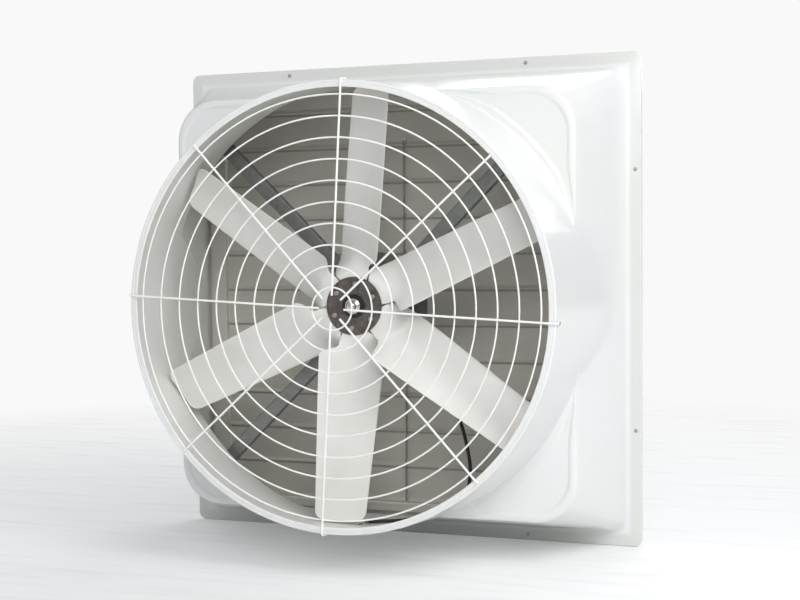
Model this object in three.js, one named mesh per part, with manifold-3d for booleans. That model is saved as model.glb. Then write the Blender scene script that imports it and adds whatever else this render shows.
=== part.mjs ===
// A square wall fan for a greenhouse: a moulded fibreglass housing that runs from a square wall flange
// to a round outlet, a six-blade impeller on a motor carried by four struts, a wire guard over the
// outlet and a shutter of linked louvres behind the wall flange. Millimetres, +Z up.
//
// Inside the group `fan` every place is given from the centre of the flange's front plane: x to the
// right seen from the outlet, z up, and "ahead" means the distance towards the outlet, which is -y.
import * as THREE from "three";
import { mergeVertices } from "three/addons/utils/BufferGeometryUtils.js";
import Module from "manifold-3d";

const wasm = await Module();
wasm.setup();

// ---------------------------------------------------------------- driving dimensions
const touchGap = 0.3; // what two pieces that touch keep between them

// housing
const flangeSize = 1460; // outside of the square wall flange
const flangeCorner = 25;
const flangeThickness = 14;
const rebateHalf = 696; // the rebate in the flange's back that takes the shutter's lip
const rebateDepth = 3;
const boxRootHalf = 686; // half the box's width where it meets the flange
const boxRootCorner = 42;
const boxFrontHalf = 602; // half the box's width at its front face
const boxFrontCorner = 120;
const boxDepth = 343; // flange to the box's front face
const mouthAhead = 622.5; // flange to the outlet's mouth
const mouthRadius = 607; // outside of the outlet cone at its mouth
const coneTaper = 0.106; // how much the cone's radius grows for each millimetre back from the mouth
const wallThickness = 5;
const rimWidth = 18; // the lip that turns inward at the mouth
const rimThickness = 6;

// outlet guard
const guardRingCount = 10;
const guardRingPitch = 57;
const ringWire = 2.4; // wire radii
const spokeWire = 3;
const spokeCount = 8; // every second one hooks over the rim
const spokeInnerRadius = 36;
const guardTurn = 3.2; // degrees clockwise, seen from the outlet
const eyeletRadius = 8;
const eyeletThickness = 4;
const eyeletBehindMouth = 16;
const guardScrewRadius = 2.6;
const guardScrewLength = 13;
const guardScrewHead = 5.5;

// impeller
const bladeCount = 6;
const bladeTurn = 4.97; // degrees clockwise of the first blade
const bladeTipRadius = 610;
const bladeFullRadius = 165; // where the blade reaches its full width
const bladeAhead = 444; // middle plane of the blades
const bladeThickness = 4;
const bladeRootHalf = 78; // half the blade's width, measured round the axis, where it is full
const bladeTipHalf = 64.5;
const bladeRootPitch = 37; // degrees
const bladeTipPitch = 25.7;
const bladeCamber = 9;
const bladeTongueRadius = 46; // inner end of the flat tongue held by the hub
const tongueHalf = 22;
const tipRounding = 22;
const hubRadius = 82;
const hubPlateThickness = 4;
const hubFrontAhead = 457;
const hubBossRadius = 30;
const hubBossLength = 50;
const hubBoltCircle = 62;
const hubBoltRadius = 3.9;
const hubBoltHead = 7.2; // across the corners of the hexagon, halved
const hubBoltHeadHeight = 5.3;
const washerRadius = 33;
const washerThickness = 3;
const capRadius = 22.5;
const capHeight = 27;

// motor
const shaftRadius = 12;
const motorRadius = 92;
const motorWall = 9;
const motorFinCount = 28;
const motorFinHeight = 5;
const motorBehindStruts = 75; // how far the motor's frame reaches behind the struts' front
const motorLength = 126;
const shieldThickness = 17;
const bearingOuterRadius = 26;
const bearingWidth = 15;
const coreLength = 90;
const airGap = 0.5;
const rotorRadius = 50;
const motorLugReach = 32; // how far the lugs stand out from the motor
const motorLugWidth = 30;
const motorLugThickness = 8;
const terminalBoxSize = [40, 66, 76]; // away from the motor, along the shaft, upright
const terminalLidThickness = 4;
const glandLength = 26;
const glandRadius = 11;

// struts
const strutSetback = 36; // how far the struts' front is behind the box's front face
const strutWidth = 40;
const strutDepth = 25;
const strutWall = 3;
const strutMotorGap = 9;
const footWall = 5;
const footLength = 56;
const footDepth = 42;
const framePlateBorder = 58; // how far the plate reaches past the motor
const framePlateThickness = 4;

// shutter
const louvreCount = 11;
const louvrePitch = 111;
const lowestHinge = -517; // height of the lowest louvre's hinge over the fan's centre
const louvreDrop = 116; // hinge to the louvre's lower edge
const louvreSheet = 1.4;
const louvreLean = 5.2; // the lower edge hangs this far ahead of the hinge
const louvreBulge = 2.5;
const louvreHem = 1.3; // half the thickness of the folded lower edge
const hingeBarrel = 4;
const pivotRadius = 3;
const pivotClearance = 0.3;
const pivotReach = 5; // how far a pivot goes past the frame's inner wall
const shutterOpenHalf = 610; // half the opening's width
const shutterTop = 603;
const shutterBottom = -638;
const shutterOuter = 663; // outside of the raised frame
const shutterLip = rebateHalf - 2; // outside of the lip that lies in the flange's rebate
const shutterFront = 18; // the frame's face, ahead of the flange
const shutterInnerBack = 10; // how far the inner wall runs behind the flange's front plane
const shutterSheet = 2;
const rodThickness = 3;
const rodWidth = 10;
const rodPinAhead = 12;
const rodPinDrop = 104;
const rodPinRadius = 2.2;
const rodEnd = 7; // the rod runs this far past its end pins
const earThickness = 3;
const notchHalf = 3;

// cable
const cableRadius = 5;
const tieWidth = 4.8;
// The lead's route: down from the gland, along the lower right strut, then down to the outlet's floor.
const cableRoute = [
  [114, 244.4, -64.6],
  [114, 244, -90],
  [115, 246, -116],
  [119, 250, -142],
  [128, 258, -168],
  [145, 271, -193],
  [170, 286, -216],
  [199, 294, -239],
  [224, 297, -265],
  [242, 300, -292],
  [257, 304, -322],
  [270, 308, -354],
  [280, 311, -389],
  [288, 313, -424],
  [293, 315, -460],
  [292, 317, -496],
  [285, 319, -529],
  [269, 322, -556],
  [243, 325, -577],
  [208, 328, -592],
  [165, 330, -605],
  [120, 333, -615],
  [80, 338, -621],
  [45, 348, -622.5],
  [20, 362, -622.5],
  [8, 380, -621],
];

// ---------------------------------------------------------------- sizes that follow from others
const strutFrontAhead = boxDepth - strutSetback;
const strutInnerRadius = motorRadius + strutMotorGap;
const motorRearAhead = strutFrontAhead - motorBehindStruts;
const motorFrontAhead = motorRearAhead + motorLength;
const motorLugRadius = motorRadius + motorLugReach;
const framePlateRadius = motorRadius + framePlateBorder;

// ---------------------------------------------------------------- materials
function finish(colour, roughness, metalness) {
  return new THREE.MeshStandardMaterial({ color: colour, roughness, metalness });
}

const gelcoat = finish("#e6e7e5", 0.3, 0);
const coatedWire = finish("#f0f0ec", 0.35, 0);
const bladePlastic = finish("#d4d3cf", 0.45, 0);
const galvanised = finish("#8b8d8c", 0.5, 0.8);
const aluminium = finish("#b4b3ad", 0.45, 0.7);
const darkPaint = finish("#3d3836", 0.25, 0.2);
const castPaint = finish("#6f7472", 0.5, 0.3);
const zincPlate = finish("#c9c9c6", 0.3, 0.9);
const brightSteel = finish("#d8d8d6", 0.2, 0.95);
const copperCore = finish("#9a6a48", 0.5, 0.6);
const blackPlastic = finish("#1c1c1c", 0.5, 0);
const blackRubber = finish("#151515", 0.6, 0);

// ---------------------------------------------------------------- helpers
const part = new THREE.Group();
const fan = new THREE.Group();
part.add(fan);

function addMesh(name, geometry, material, holder = fan) {
  const mesh = new THREE.Mesh(geometry, material);
  mesh.name = name;
  holder.add(mesh);
  return mesh;
}

const degrees = THREE.MathUtils.degToRad;
const mix = THREE.MathUtils.lerp;
const smooth = THREE.MathUtils.smoothstep;

// A closed geometry as a manifold-3d solid, and back.
function solidOf(geometry) {
  const bare = geometry.clone();
  bare.deleteAttribute("normal");
  bare.deleteAttribute("uv");
  const merged = mergeVertices(bare, 1e-3);
  return new wasm.Manifold(
    new wasm.Mesh({
      numProp: 3,
      vertProperties: merged.attributes.position.array,
      triVerts: new Uint32Array(merged.index.array),
    }),
  );
}

function geometryOf(solid) {
  const mesh = solid.getMesh();
  const geometry = new THREE.BufferGeometry();
  geometry.setAttribute("position", new THREE.BufferAttribute(mesh.vertProperties, 3));
  geometry.setIndex(new THREE.BufferAttribute(mesh.triVerts, 1));
  const flat = geometry.toNonIndexed();
  flat.computeVertexNormals();
  return flat;
}

function joined(geometries) {
  return geometryOf(geometries.map(solidOf).reduce((all, next) => all.add(next)));
}

function cut(geometry, cutters) {
  return geometryOf(cutters.map(solidOf).reduce((rest, cutter) => rest.subtract(cutter), solidOf(geometry)));
}

// Rows of points of equal length become a surface. Both directions may close on themselves.
function surface(rows, closeRows, closeColumns) {
  const columns = rows[0].length;
  const corners = [];
  const rowSteps = closeRows ? rows.length : rows.length - 1;
  const columnSteps = closeColumns ? columns : columns - 1;
  for (let i = 0; i < rowSteps; i += 1) {
    for (let j = 0; j < columnSteps; j += 1) {
      const a = rows[i][j];
      const b = rows[(i + 1) % rows.length][j];
      const c = rows[(i + 1) % rows.length][(j + 1) % columns];
      const d = rows[i][(j + 1) % columns];
      corners.push(a, b, c, a, c, d);
    }
  }
  return new THREE.BufferGeometry().setFromPoints(corners);
}

// A shape drawn in x and z, made solid from one distance ahead to another.
function plateAhead(shape, from, to, curveSegments = 8) {
  const geometry = new THREE.ExtrudeGeometry(shape, {
    depth: to - from,
    bevelEnabled: false,
    curveSegments,
  });
  geometry.rotateX(Math.PI / 2);
  geometry.translate(0, -from, 0);
  return geometry;
}

// A shape drawn in y and z, made solid along x.
function barAcross(shape, fromX, toX) {
  const geometry = new THREE.ExtrudeGeometry(shape, { depth: toX - fromX, bevelEnabled: false, curveSegments: 4 });
  const alongX = new THREE.Matrix4().makeBasis(
    new THREE.Vector3(0, 1, 0),
    new THREE.Vector3(0, 0, 1),
    new THREE.Vector3(1, 0, 0),
  );
  geometry.applyMatrix4(alongX);
  geometry.translate(fromX, 0, 0);
  return geometry;
}

// A profile of [radius, distance ahead] pairs turned round the shaft's axis.
function turned(profile, segments = 24) {
  const points = profile.map(([radius, ahead]) => new THREE.Vector2(radius, -ahead));
  if (THREE.ShapeUtils.area(points) < 0) points.reverse();
  points.push(points[0].clone());
  return new THREE.LatheGeometry(points, segments);
}

// A plain ring round the shaft's axis.
function ring(outerRadius, innerRadius, from, to, segments = 24) {
  return turned(
    [
      [innerRadius, from],
      [outerRadius, from],
      [outerRadius, to],
      [innerRadius, to],
    ],
    segments,
  );
}

function rod(radius, from, to, segments = 8) {
  const start = new THREE.Vector3(...from);
  const end = new THREE.Vector3(...to);
  const geometry = new THREE.CylinderGeometry(radius, radius, start.distanceTo(end), segments);
  const turn = new THREE.Quaternion().setFromUnitVectors(
    new THREE.Vector3(0, 1, 0),
    end.clone().sub(start).normalize(),
  );
  geometry.applyQuaternion(turn);
  const middle = start.add(end).multiplyScalar(0.5);
  geometry.translate(middle.x, middle.y, middle.z);
  return geometry;
}

function circleShape(radius, sides) {
  const shape = new THREE.Shape();
  for (let i = 0; i < sides; i += 1) {
    const angle = (2 * Math.PI * i) / sides;
    const point = [radius * Math.cos(angle), radius * Math.sin(angle)];
    if (i === 0) shape.moveTo(...point);
    else shape.lineTo(...point);
  }
  shape.closePath();
  return shape;
}

function rectangle(left, bottom, right, top) {
  const shape = new THREE.Shape();
  shape.moveTo(left, bottom);
  shape.lineTo(right, bottom);
  shape.lineTo(right, top);
  shape.lineTo(left, top);
  shape.closePath();
  return shape;
}

function tube(points, radius, sides, steps) {
  const curve = new THREE.CatmullRomCurve3(points.map(([x, ahead, z]) => new THREE.Vector3(x, -ahead, z)));
  return new THREE.ExtrudeGeometry(circleShape(radius, sides), { steps, extrudePath: curve });
}

// ---------------------------------------------------------------- housing
// Distance from the axis to a square with rounded corners, in the direction of an angle.
function squareRadius(angle, half, corner) {
  const across = Math.max(Math.abs(Math.cos(angle)), Math.abs(Math.sin(angle)));
  const along = Math.min(Math.abs(Math.cos(angle)), Math.abs(Math.sin(angle)));
  const straight = half - corner;
  if ((half * along) / across <= straight) return half / across;
  const both = across + along;
  const apart = across - along;
  return straight * both + Math.sqrt(corner * corner - straight * straight * apart * apart);
}

// The box's outside, or its inside with inset = the wall's thickness.
function boxRadius(angle, ahead, inset) {
  const share = ahead / boxDepth;
  const half = mix(boxRootHalf, boxFrontHalf, share) - inset;
  const corner = mix(boxRootCorner, boxFrontCorner, share) - inset;
  return squareRadius(angle, half, corner);
}

function coneRadius(ahead, inset = 0) {
  return mouthRadius + coneTaper * (mouthAhead - ahead) - inset;
}

// How far ahead the box's wall ends: at its front face in the corners, or where it runs into the cone.
function wallEnd(angle, inset) {
  const front = boxDepth - inset;
  if (boxRadius(angle, front, inset) > coneRadius(front, inset)) return front;
  let near = 0;
  let far = front;
  for (let i = 0; i < 40; i += 1) {
    const middle = (near + far) / 2;
    if (boxRadius(angle, middle, inset) > coneRadius(middle, inset)) near = middle;
    else far = middle;
  }
  return near;
}

const shutterSeat = flangeThickness - rebateDepth; // where the shutter's lip rests, behind the front plane

function housingProfile(angle) {
  const flange = squareRadius(angle, flangeSize / 2, flangeCorner);
  const outerEnd = wallEnd(angle, 0);
  const innerEnd = wallEnd(angle, wallThickness);
  const front = boxDepth;
  const innerFront = boxDepth - wallThickness;
  const rimBack = mouthAhead - rimThickness;
  return [
    [flange, -flangeThickness],
    [flange, 0],
    [boxRadius(angle, 0, 0), 0],
    [boxRadius(angle, outerEnd, 0), outerEnd],
    [coneRadius(front), front],
    [coneRadius(rimBack), rimBack],
    [mouthRadius, mouthAhead],
    [mouthRadius - rimWidth, mouthAhead],
    [mouthRadius - rimWidth, rimBack],
    [coneRadius(rimBack, wallThickness), rimBack],
    [coneRadius(innerFront, wallThickness), innerFront],
    [boxRadius(angle, innerEnd, wallThickness), innerEnd],
    [boxRadius(angle, 0, wallThickness), 0],
    [boxRadius(angle, 0, wallThickness), -shutterSeat],
    [squareRadius(angle, rebateHalf, 0), -shutterSeat],
    [squareRadius(angle, rebateHalf, 0), -flangeThickness],
  ];
}

// Angles are closest together where the corners are round and where the walls meet the cone.
const octantAngles = [0, 5, 10, 14, 17, 19, 22.5, 28, 33, 37, 40, 42, 43.4, 44.3];
const housingAngles = [];
for (let octant = 0; octant < 8; octant += 1) {
  for (let i = 0; i < octantAngles.length; i += 1) {
    const turnedBack = octant % 2 === 1;
    const inOctant = turnedBack ? 45 - octantAngles[(octantAngles.length - i) % octantAngles.length] : octantAngles[i];
    const start = turnedBack && i === 0 ? 0 : inOctant;
    housingAngles.push(degrees(octant * 45 + start));
  }
}

const screwAngles = [0, 90, 180, 270].map((turn) => degrees(90 - guardTurn - turn));
const eyeletAhead = mouthAhead - eyeletBehindMouth;
const eyeletSeat = coneRadius(eyeletAhead - eyeletRadius) + touchGap;
const eyeletTop = eyeletSeat + eyeletThickness;

function outward(angle, radius, ahead) {
  return [radius * Math.cos(angle), -ahead, radius * Math.sin(angle)];
}

function makeHousing() {
  const rows = housingAngles.map((angle) =>
    housingProfile(angle).map(([radius, ahead]) => new THREE.Vector3(...outward(angle, radius, ahead))),
  );
  const shell = surface(rows, true, true);
  const screwHoles = screwAngles.map((angle) =>
    rod(
      guardScrewRadius + touchGap,
      outward(angle, mouthRadius - 2 * wallThickness, eyeletAhead),
      outward(angle, eyeletTop, eyeletAhead),
      10,
    ),
  );
  addMesh("housing", cut(shell, screwHoles), gelcoat);
}

// ---------------------------------------------------------------- outlet guard
function makeGuard() {
  const spokeAhead = mouthAhead + touchGap + spokeWire;
  const ringAhead = spokeAhead - 0.94 * (spokeWire + ringWire);
  const pieces = [];
  for (let k = 1; k <= guardRingCount; k += 1) {
    const wire = new THREE.TorusGeometry(guardRingPitch * k, ringWire, 4, 14 + 2 * k);
    wire.rotateX(Math.PI / 2);
    wire.translate(0, -ringAhead, 0);
    pieces.push(wire);
  }
  for (let i = 0; i < spokeCount; i += 1) {
    const angle = degrees(90 - guardTurn - (360 / spokeCount) * i);
    const hooked = i % 2 === 0;
    const bendRadius = eyeletSeat + eyeletThickness / 2;
    const outerEnd = hooked ? bendRadius : mouthRadius - rimWidth / 3;
    pieces.push(rod(spokeWire, outward(angle, spokeInnerRadius, spokeAhead), outward(angle, outerEnd, spokeAhead), 6));
    if (!hooked) continue;
    const hookBottom = outward(angle, bendRadius, eyeletAhead + eyeletRadius - 1);
    pieces.push(rod(spokeWire, outward(angle, bendRadius + 0.4, spokeAhead + spokeWire * 0.7), hookBottom, 6));
    const eyelet = rod(
      eyeletRadius,
      outward(angle, eyeletSeat, eyeletAhead),
      outward(angle, eyeletTop, eyeletAhead),
      16,
    );
    const hole = rod(
      guardScrewRadius + touchGap,
      outward(angle, eyeletSeat - 1, eyeletAhead),
      outward(angle, eyeletTop + 1, eyeletAhead),
      10,
    );
    pieces.push(cut(eyelet, [hole]));
  }
  addMesh("outlet_guard", joined(pieces), coatedWire);

  screwAngles.forEach((angle, i) => {
    const headSeat = eyeletTop + touchGap;
    const head = rod(
      guardScrewHead,
      outward(angle, headSeat, eyeletAhead),
      outward(angle, headSeat + 3, eyeletAhead),
      12,
    );
    const shank = rod(
      guardScrewRadius,
      outward(angle, headSeat - guardScrewLength, eyeletAhead),
      outward(angle, headSeat + 1, eyeletAhead),
    );
    addMesh(`guard_screw_${i + 1}`, joined([head, shank]), zincPlate);
  });
}

// ---------------------------------------------------------------- shutter
const shutterBack = shutterSeat + touchGap;

function makeShutterFrame() {
  // The section goes round the opening. Each point is given by how it follows the sides.
  const backFace = shutterBack + shutterSheet;
  const section = [
    ["inner", 0, shutterInnerBack],
    ["inner", 0, -shutterFront],
    ["outer", 0, -shutterFront],
    ["outer", 0, shutterBack],
    ["lip", 0, shutterBack],
    ["lip", 0, backFace],
    ["outer", -shutterSheet, backFace],
    ["outer", -shutterSheet, shutterSheet - shutterFront],
    ["inner", shutterSheet, shutterSheet - shutterFront],
    ["inner", shutterSheet, shutterInnerBack],
  ];
  const reach = {
    inner: { side: shutterOpenHalf, top: shutterTop, bottom: -shutterBottom },
    outer: { side: shutterOuter, top: shutterOuter, bottom: shutterOuter },
    lip: { side: shutterLip, top: shutterLip, bottom: shutterLip },
  };
  const corners = [
    [1, 1],
    [1, -1],
    [-1, -1],
    [-1, 1],
  ];
  const rows = corners.map(([sideSign, topSign]) =>
    section.map(([follows, offset, y]) => {
      const size = reach[follows];
      const height = topSign > 0 ? size.top : size.bottom;
      return new THREE.Vector3(sideSign * (size.side + offset), y, topSign * (height + offset));
    }),
  );
  const holes = [];
  for (let k = 0; k < louvreCount; k += 1) {
    const height = lowestHinge + louvrePitch * k;
    for (const side of [-1, 1]) {
      const inside = side * (shutterOpenHalf - 1);
      const outside = side * (shutterOpenHalf + shutterSheet + 1);
      holes.push(rod(pivotRadius + pivotClearance, [inside, 0, height], [outside, 0, height]));
    }
  }
  addMesh("shutter_frame", cut(surface(rows, true, true), holes), aluminium);
}

// The louvre's section, hinge at the origin and hanging down, with y and z as its two directions.
function louvreShape() {
  const steps = 4;
  const middle = (share) => -(louvreLean * share + louvreBulge * Math.sin(Math.PI * share));
  const half = louvreSheet / 2;
  const shape = new THREE.Shape();
  const neck = Math.asin(half / hingeBarrel);
  shape.absarc(0, 0, hingeBarrel, -Math.PI / 2 + neck, 1.5 * Math.PI - neck, false);
  const top = 0.08;
  for (let i = 0; i <= steps; i += 1) {
    const share = top + (0.95 - top) * (i / steps);
    shape.lineTo(middle(share) - half, -louvreDrop * share);
  }
  shape.lineTo(-louvreLean - louvreHem, -louvreDrop * 0.96);
  shape.lineTo(-louvreLean - louvreHem, -louvreDrop);
  shape.lineTo(-louvreLean + half, -louvreDrop);
  for (let i = steps; i >= 0; i -= 1) {
    const share = top + (0.95 - top) * (i / steps);
    shape.lineTo(middle(share) + half, -louvreDrop * share);
  }
  shape.closePath();
  return shape;
}

function makeLouvreGeometry() {
  const endGap = 2.5;
  const halfLength = shutterOpenHalf - endGap;
  const blade = barAcross(louvreShape(), -halfLength, halfLength);
  const notch = new THREE.BoxGeometry(2 * notchHalf, 4 * rodPinAhead, 2 * (louvreDrop - rodPinDrop) + rodWidth + 8);
  notch.translate(0, 0, -louvreDrop);
  const pivotEnd = shutterOpenHalf + shutterSheet + pivotReach;
  const pieces = [cut(blade, [notch])];
  for (const side of [-1, 1]) {
    pieces.push(rod(pivotRadius, [side * (halfLength - 20), 0, 0], [side * pivotEnd, 0, 0]));
  }
  const earReach = rodPinRadius + 2.6;
  const ear = new THREE.Shape();
  ear.moveTo(-louvreLean + 0.2, -rodPinDrop + 12);
  ear.lineTo(-louvreLean + 0.2, -rodPinDrop - earReach);
  ear.lineTo(-rodPinAhead, -rodPinDrop - earReach);
  ear.absarc(-rodPinAhead, -rodPinDrop, earReach, -Math.PI / 2, -Math.PI, true);
  ear.closePath();
  pieces.push(barAcross(ear, notchHalf, notchHalf + earThickness));
  const pinEnd = -rodThickness / 2 - 2;
  pieces.push(rod(rodPinRadius, [pinEnd, -rodPinAhead, -rodPinDrop], [notchHalf + 1, -rodPinAhead, -rodPinDrop]));
  return joined(pieces);
}

function makeLouvres() {
  const geometry = makeLouvreGeometry();
  for (let k = 0; k < louvreCount; k += 1) {
    const number = String(k + 1).padStart(2, "0");
    const louvre = addMesh(`louvre_${number}`, geometry, aluminium);
    louvre.position.z = lowestHinge + louvrePitch * k;
  }
}

function makeLinkRod() {
  const bottom = lowestHinge - rodPinDrop - rodEnd;
  const top = lowestHinge + louvrePitch * (louvreCount - 1) - rodPinDrop + rodEnd;
  const shape = rectangle(-rodPinAhead - rodWidth / 2, bottom, -rodPinAhead + rodWidth / 2, top);
  for (let k = 0; k < louvreCount; k += 1) {
    const hole = new THREE.Path();
    const height = lowestHinge + louvrePitch * k - rodPinDrop;
    hole.absarc(-rodPinAhead, height, rodPinRadius + pivotClearance, 0, 2 * Math.PI, true);
    shape.holes.push(hole);
  }
  addMesh("louvre_link_rod", barAcross(shape, -rodThickness / 2, rodThickness / 2), galvanised);
}

// ---------------------------------------------------------------- struts and motor frame
function diagonal(turn) {
  const angle = degrees(turn);
  const outwards = new THREE.Vector3(Math.cos(angle), 0, Math.sin(angle));
  const sideways = new THREE.Vector3(-Math.sin(angle), 0, Math.cos(angle));
  return new THREE.Matrix4().makeBasis(sideways, new THREE.Vector3(0, -1, 0), outwards);
}

// How far out along the diagonal a flat foot of a given width can reach before its edges meet the wall.
function cornerReach(ahead, footWidth) {
  const edgeAngle = Math.PI / 4 - Math.asin(footWidth / 2 / boxRadius(Math.PI / 4, ahead, wallThickness));
  const end = wallEnd(edgeAngle, wallThickness);
  const atRoot = boxRadius(edgeAngle, 0, wallThickness);
  const atEnd = boxRadius(edgeAngle, end, wallThickness);
  const wall = mix(atRoot, atEnd, ahead / end);
  const facetGap = 0.95;
  return Math.sqrt(wall * wall - (footWidth * footWidth) / 4) - facetGap - touchGap;
}

function makeStruts() {
  const half = strutWidth / 2;
  const back = strutFrontAhead - strutDepth;
  const section = new THREE.Shape();
  section.moveTo(-half, back);
  section.lineTo(-half + strutWall, back);
  section.lineTo(-half + strutWall, strutFrontAhead - strutWall);
  section.lineTo(half - strutWall, strutFrontAhead - strutWall);
  section.lineTo(half - strutWall, back);
  section.lineTo(half, back);
  section.lineTo(half, strutFrontAhead);
  section.lineTo(-half, strutFrontAhead);
  section.closePath();
  const strutOuterRadius = cornerReach(strutFrontAhead, strutWidth) - 1;
  const footWidth = strutWidth - 2 * strutWall - 2 * touchGap;
  const footTop = strutFrontAhead - strutWall - touchGap;
  const footBottom = footTop - footDepth;
  const footShape = new THREE.Shape();
  footShape.moveTo(cornerReach(footTop, footWidth), footTop);
  footShape.lineTo(cornerReach(footBottom, footWidth), footBottom);
  footShape.lineTo(cornerReach(footBottom, footWidth) - footWall, footBottom);
  footShape.lineTo(cornerReach(footTop, footWidth) - footWall, footTop - footWall);
  footShape.lineTo(cornerReach(footTop, footWidth) - footLength, footTop - footWall);
  footShape.lineTo(cornerReach(footTop, footWidth) - footLength, footTop);
  footShape.closePath();
  const corners = ["upper_right", "upper_left", "lower_left", "lower_right"];
  corners.forEach((name, i) => {
    const placed = diagonal(45 + 90 * i);
    const strut = new THREE.ExtrudeGeometry(section, {
      depth: strutOuterRadius - strutInnerRadius,
      bevelEnabled: false,
    });
    strut.translate(0, 0, strutInnerRadius);
    strut.applyMatrix4(placed);
    addMesh(`strut_${name}`, strut, galvanised);

    // The foot's outline is drawn outwards and ahead, so it is turned to stand across the strut.
    const foot = new THREE.ExtrudeGeometry(footShape, { depth: footWidth, bevelEnabled: false });
    foot.translate(0, 0, -footWidth / 2);
    const across = new THREE.Matrix4().makeBasis(
      new THREE.Vector3(0, 0, 1),
      new THREE.Vector3(0, 1, 0),
      new THREE.Vector3(-1, 0, 0),
    );
    foot.applyMatrix4(across);
    foot.applyMatrix4(placed);
    addMesh(`strut_foot_${name}`, foot, galvanised);
  });

  const plateFront = back - touchGap;
  const plate = ring(framePlateRadius, motorRadius + 2, plateFront - framePlateThickness, plateFront, 40);
  addMesh("motor_frame", plate, galvanised);
}

// ---------------------------------------------------------------- motor
function makeMotor() {
  const outline = new THREE.Shape();
  const rootRadius = motorRadius - motorFinHeight;
  const finStep = (2 * Math.PI) / motorFinCount;
  for (let i = 0; i < motorFinCount; i += 1) {
    const corners = [
      [rootRadius, -0.3],
      [motorRadius, -0.16],
      [motorRadius, 0.16],
      [rootRadius, 0.3],
    ];
    corners.forEach(([radius, share], j) => {
      const angle = (i + share) * finStep;
      const point = [radius * Math.cos(angle), radius * Math.sin(angle)];
      if (i === 0 && j === 0) outline.moveTo(...point);
      else outline.lineTo(...point);
    });
  }
  outline.closePath();
  const boreRadius = rootRadius - motorWall;
  const bore = new THREE.Path();
  bore.absarc(0, 0, boreRadius, 0, 2 * Math.PI, true);
  outline.holes.push(bore);
  const barrel = plateAhead(outline, motorRearAhead, motorFrontAhead, 20);
  const lugBack = strutFrontAhead - strutDepth;
  const lugs = [0, 90, 180, 270].map((turn) => {
    const length = motorLugRadius - boreRadius - 3;
    const lug = new THREE.BoxGeometry(length, motorLugThickness, motorLugWidth);
    lug.translate(motorLugRadius - length / 2, -lugBack - motorLugThickness / 2, 0);
    lug.rotateY(degrees(turn));
    return lug;
  });
  addMesh("motor_housing", joined([barrel, ...lugs]), castPaint);

  const shieldGap = touchGap;
  const seat = bearingOuterRadius + touchGap;
  const shaftHole = shaftRadius + 1;
  const frontFace = motorFrontAhead + shieldGap;
  const frontShield = [
    [seat, frontFace - 6],
    [boreRadius - touchGap, frontFace - 6],
    [boreRadius - touchGap, frontFace],
    [motorRadius - 2, frontFace],
    [motorRadius - 8, frontFace + shieldThickness - 5],
    [motorRadius - 40, frontFace + shieldThickness],
    [shaftHole, frontFace + shieldThickness],
    [shaftHole, frontFace + shieldThickness - 4],
    [seat, frontFace + shieldThickness - 4],
  ];
  addMesh("front_end_shield", turned(frontShield), castPaint);
  const rearFace = motorRearAhead - shieldGap;
  const rearShield = [
    [seat, rearFace - shieldThickness + 4],
    [0, rearFace - shieldThickness + 4],
    [0, rearFace - shieldThickness],
    [motorRadius - 40, rearFace - shieldThickness],
    [motorRadius - 8, rearFace - shieldThickness + 5],
    [motorRadius - 2, rearFace],
    [boreRadius - touchGap, rearFace],
    [boreRadius - touchGap, rearFace + 6],
    [seat, rearFace + 6],
  ];
  addMesh("rear_end_shield", turned(rearShield), castPaint);

  const frontBearingEnd = frontFace + shieldThickness - 4 - touchGap;
  const rearBearingStart = rearFace - shieldThickness + 4 + touchGap;
  const bearingBore = shaftRadius + touchGap;
  addMesh(
    "front_bearing",
    ring(bearingOuterRadius, bearingBore, frontBearingEnd - bearingWidth, frontBearingEnd, 24),
    brightSteel,
  );
  addMesh(
    "rear_bearing",
    ring(bearingOuterRadius, bearingBore, rearBearingStart, rearBearingStart + bearingWidth, 24),
    brightSteel,
  );

  const middle = (motorRearAhead + motorFrontAhead) / 2;
  const coreStart = middle - coreLength / 2;
  const coreEnd = middle + coreLength / 2;
  addMesh("stator_core", ring(boreRadius - touchGap, rotorRadius + airGap, coreStart, coreEnd), copperCore);
  addMesh("rotor_core", ring(rotorRadius, shaftRadius + touchGap, coreStart, coreEnd), aluminium);
  const shaftStart = rearBearingStart + touchGap;
  const shaftEnd = hubFrontAhead + touchGap + washerThickness;
  addMesh(
    "motor_shaft",
    rod(shaftRadius, [0, -shaftStart, 0], [0, -shaftEnd, 0], 24),
    brightSteel,
  );
}

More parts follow.
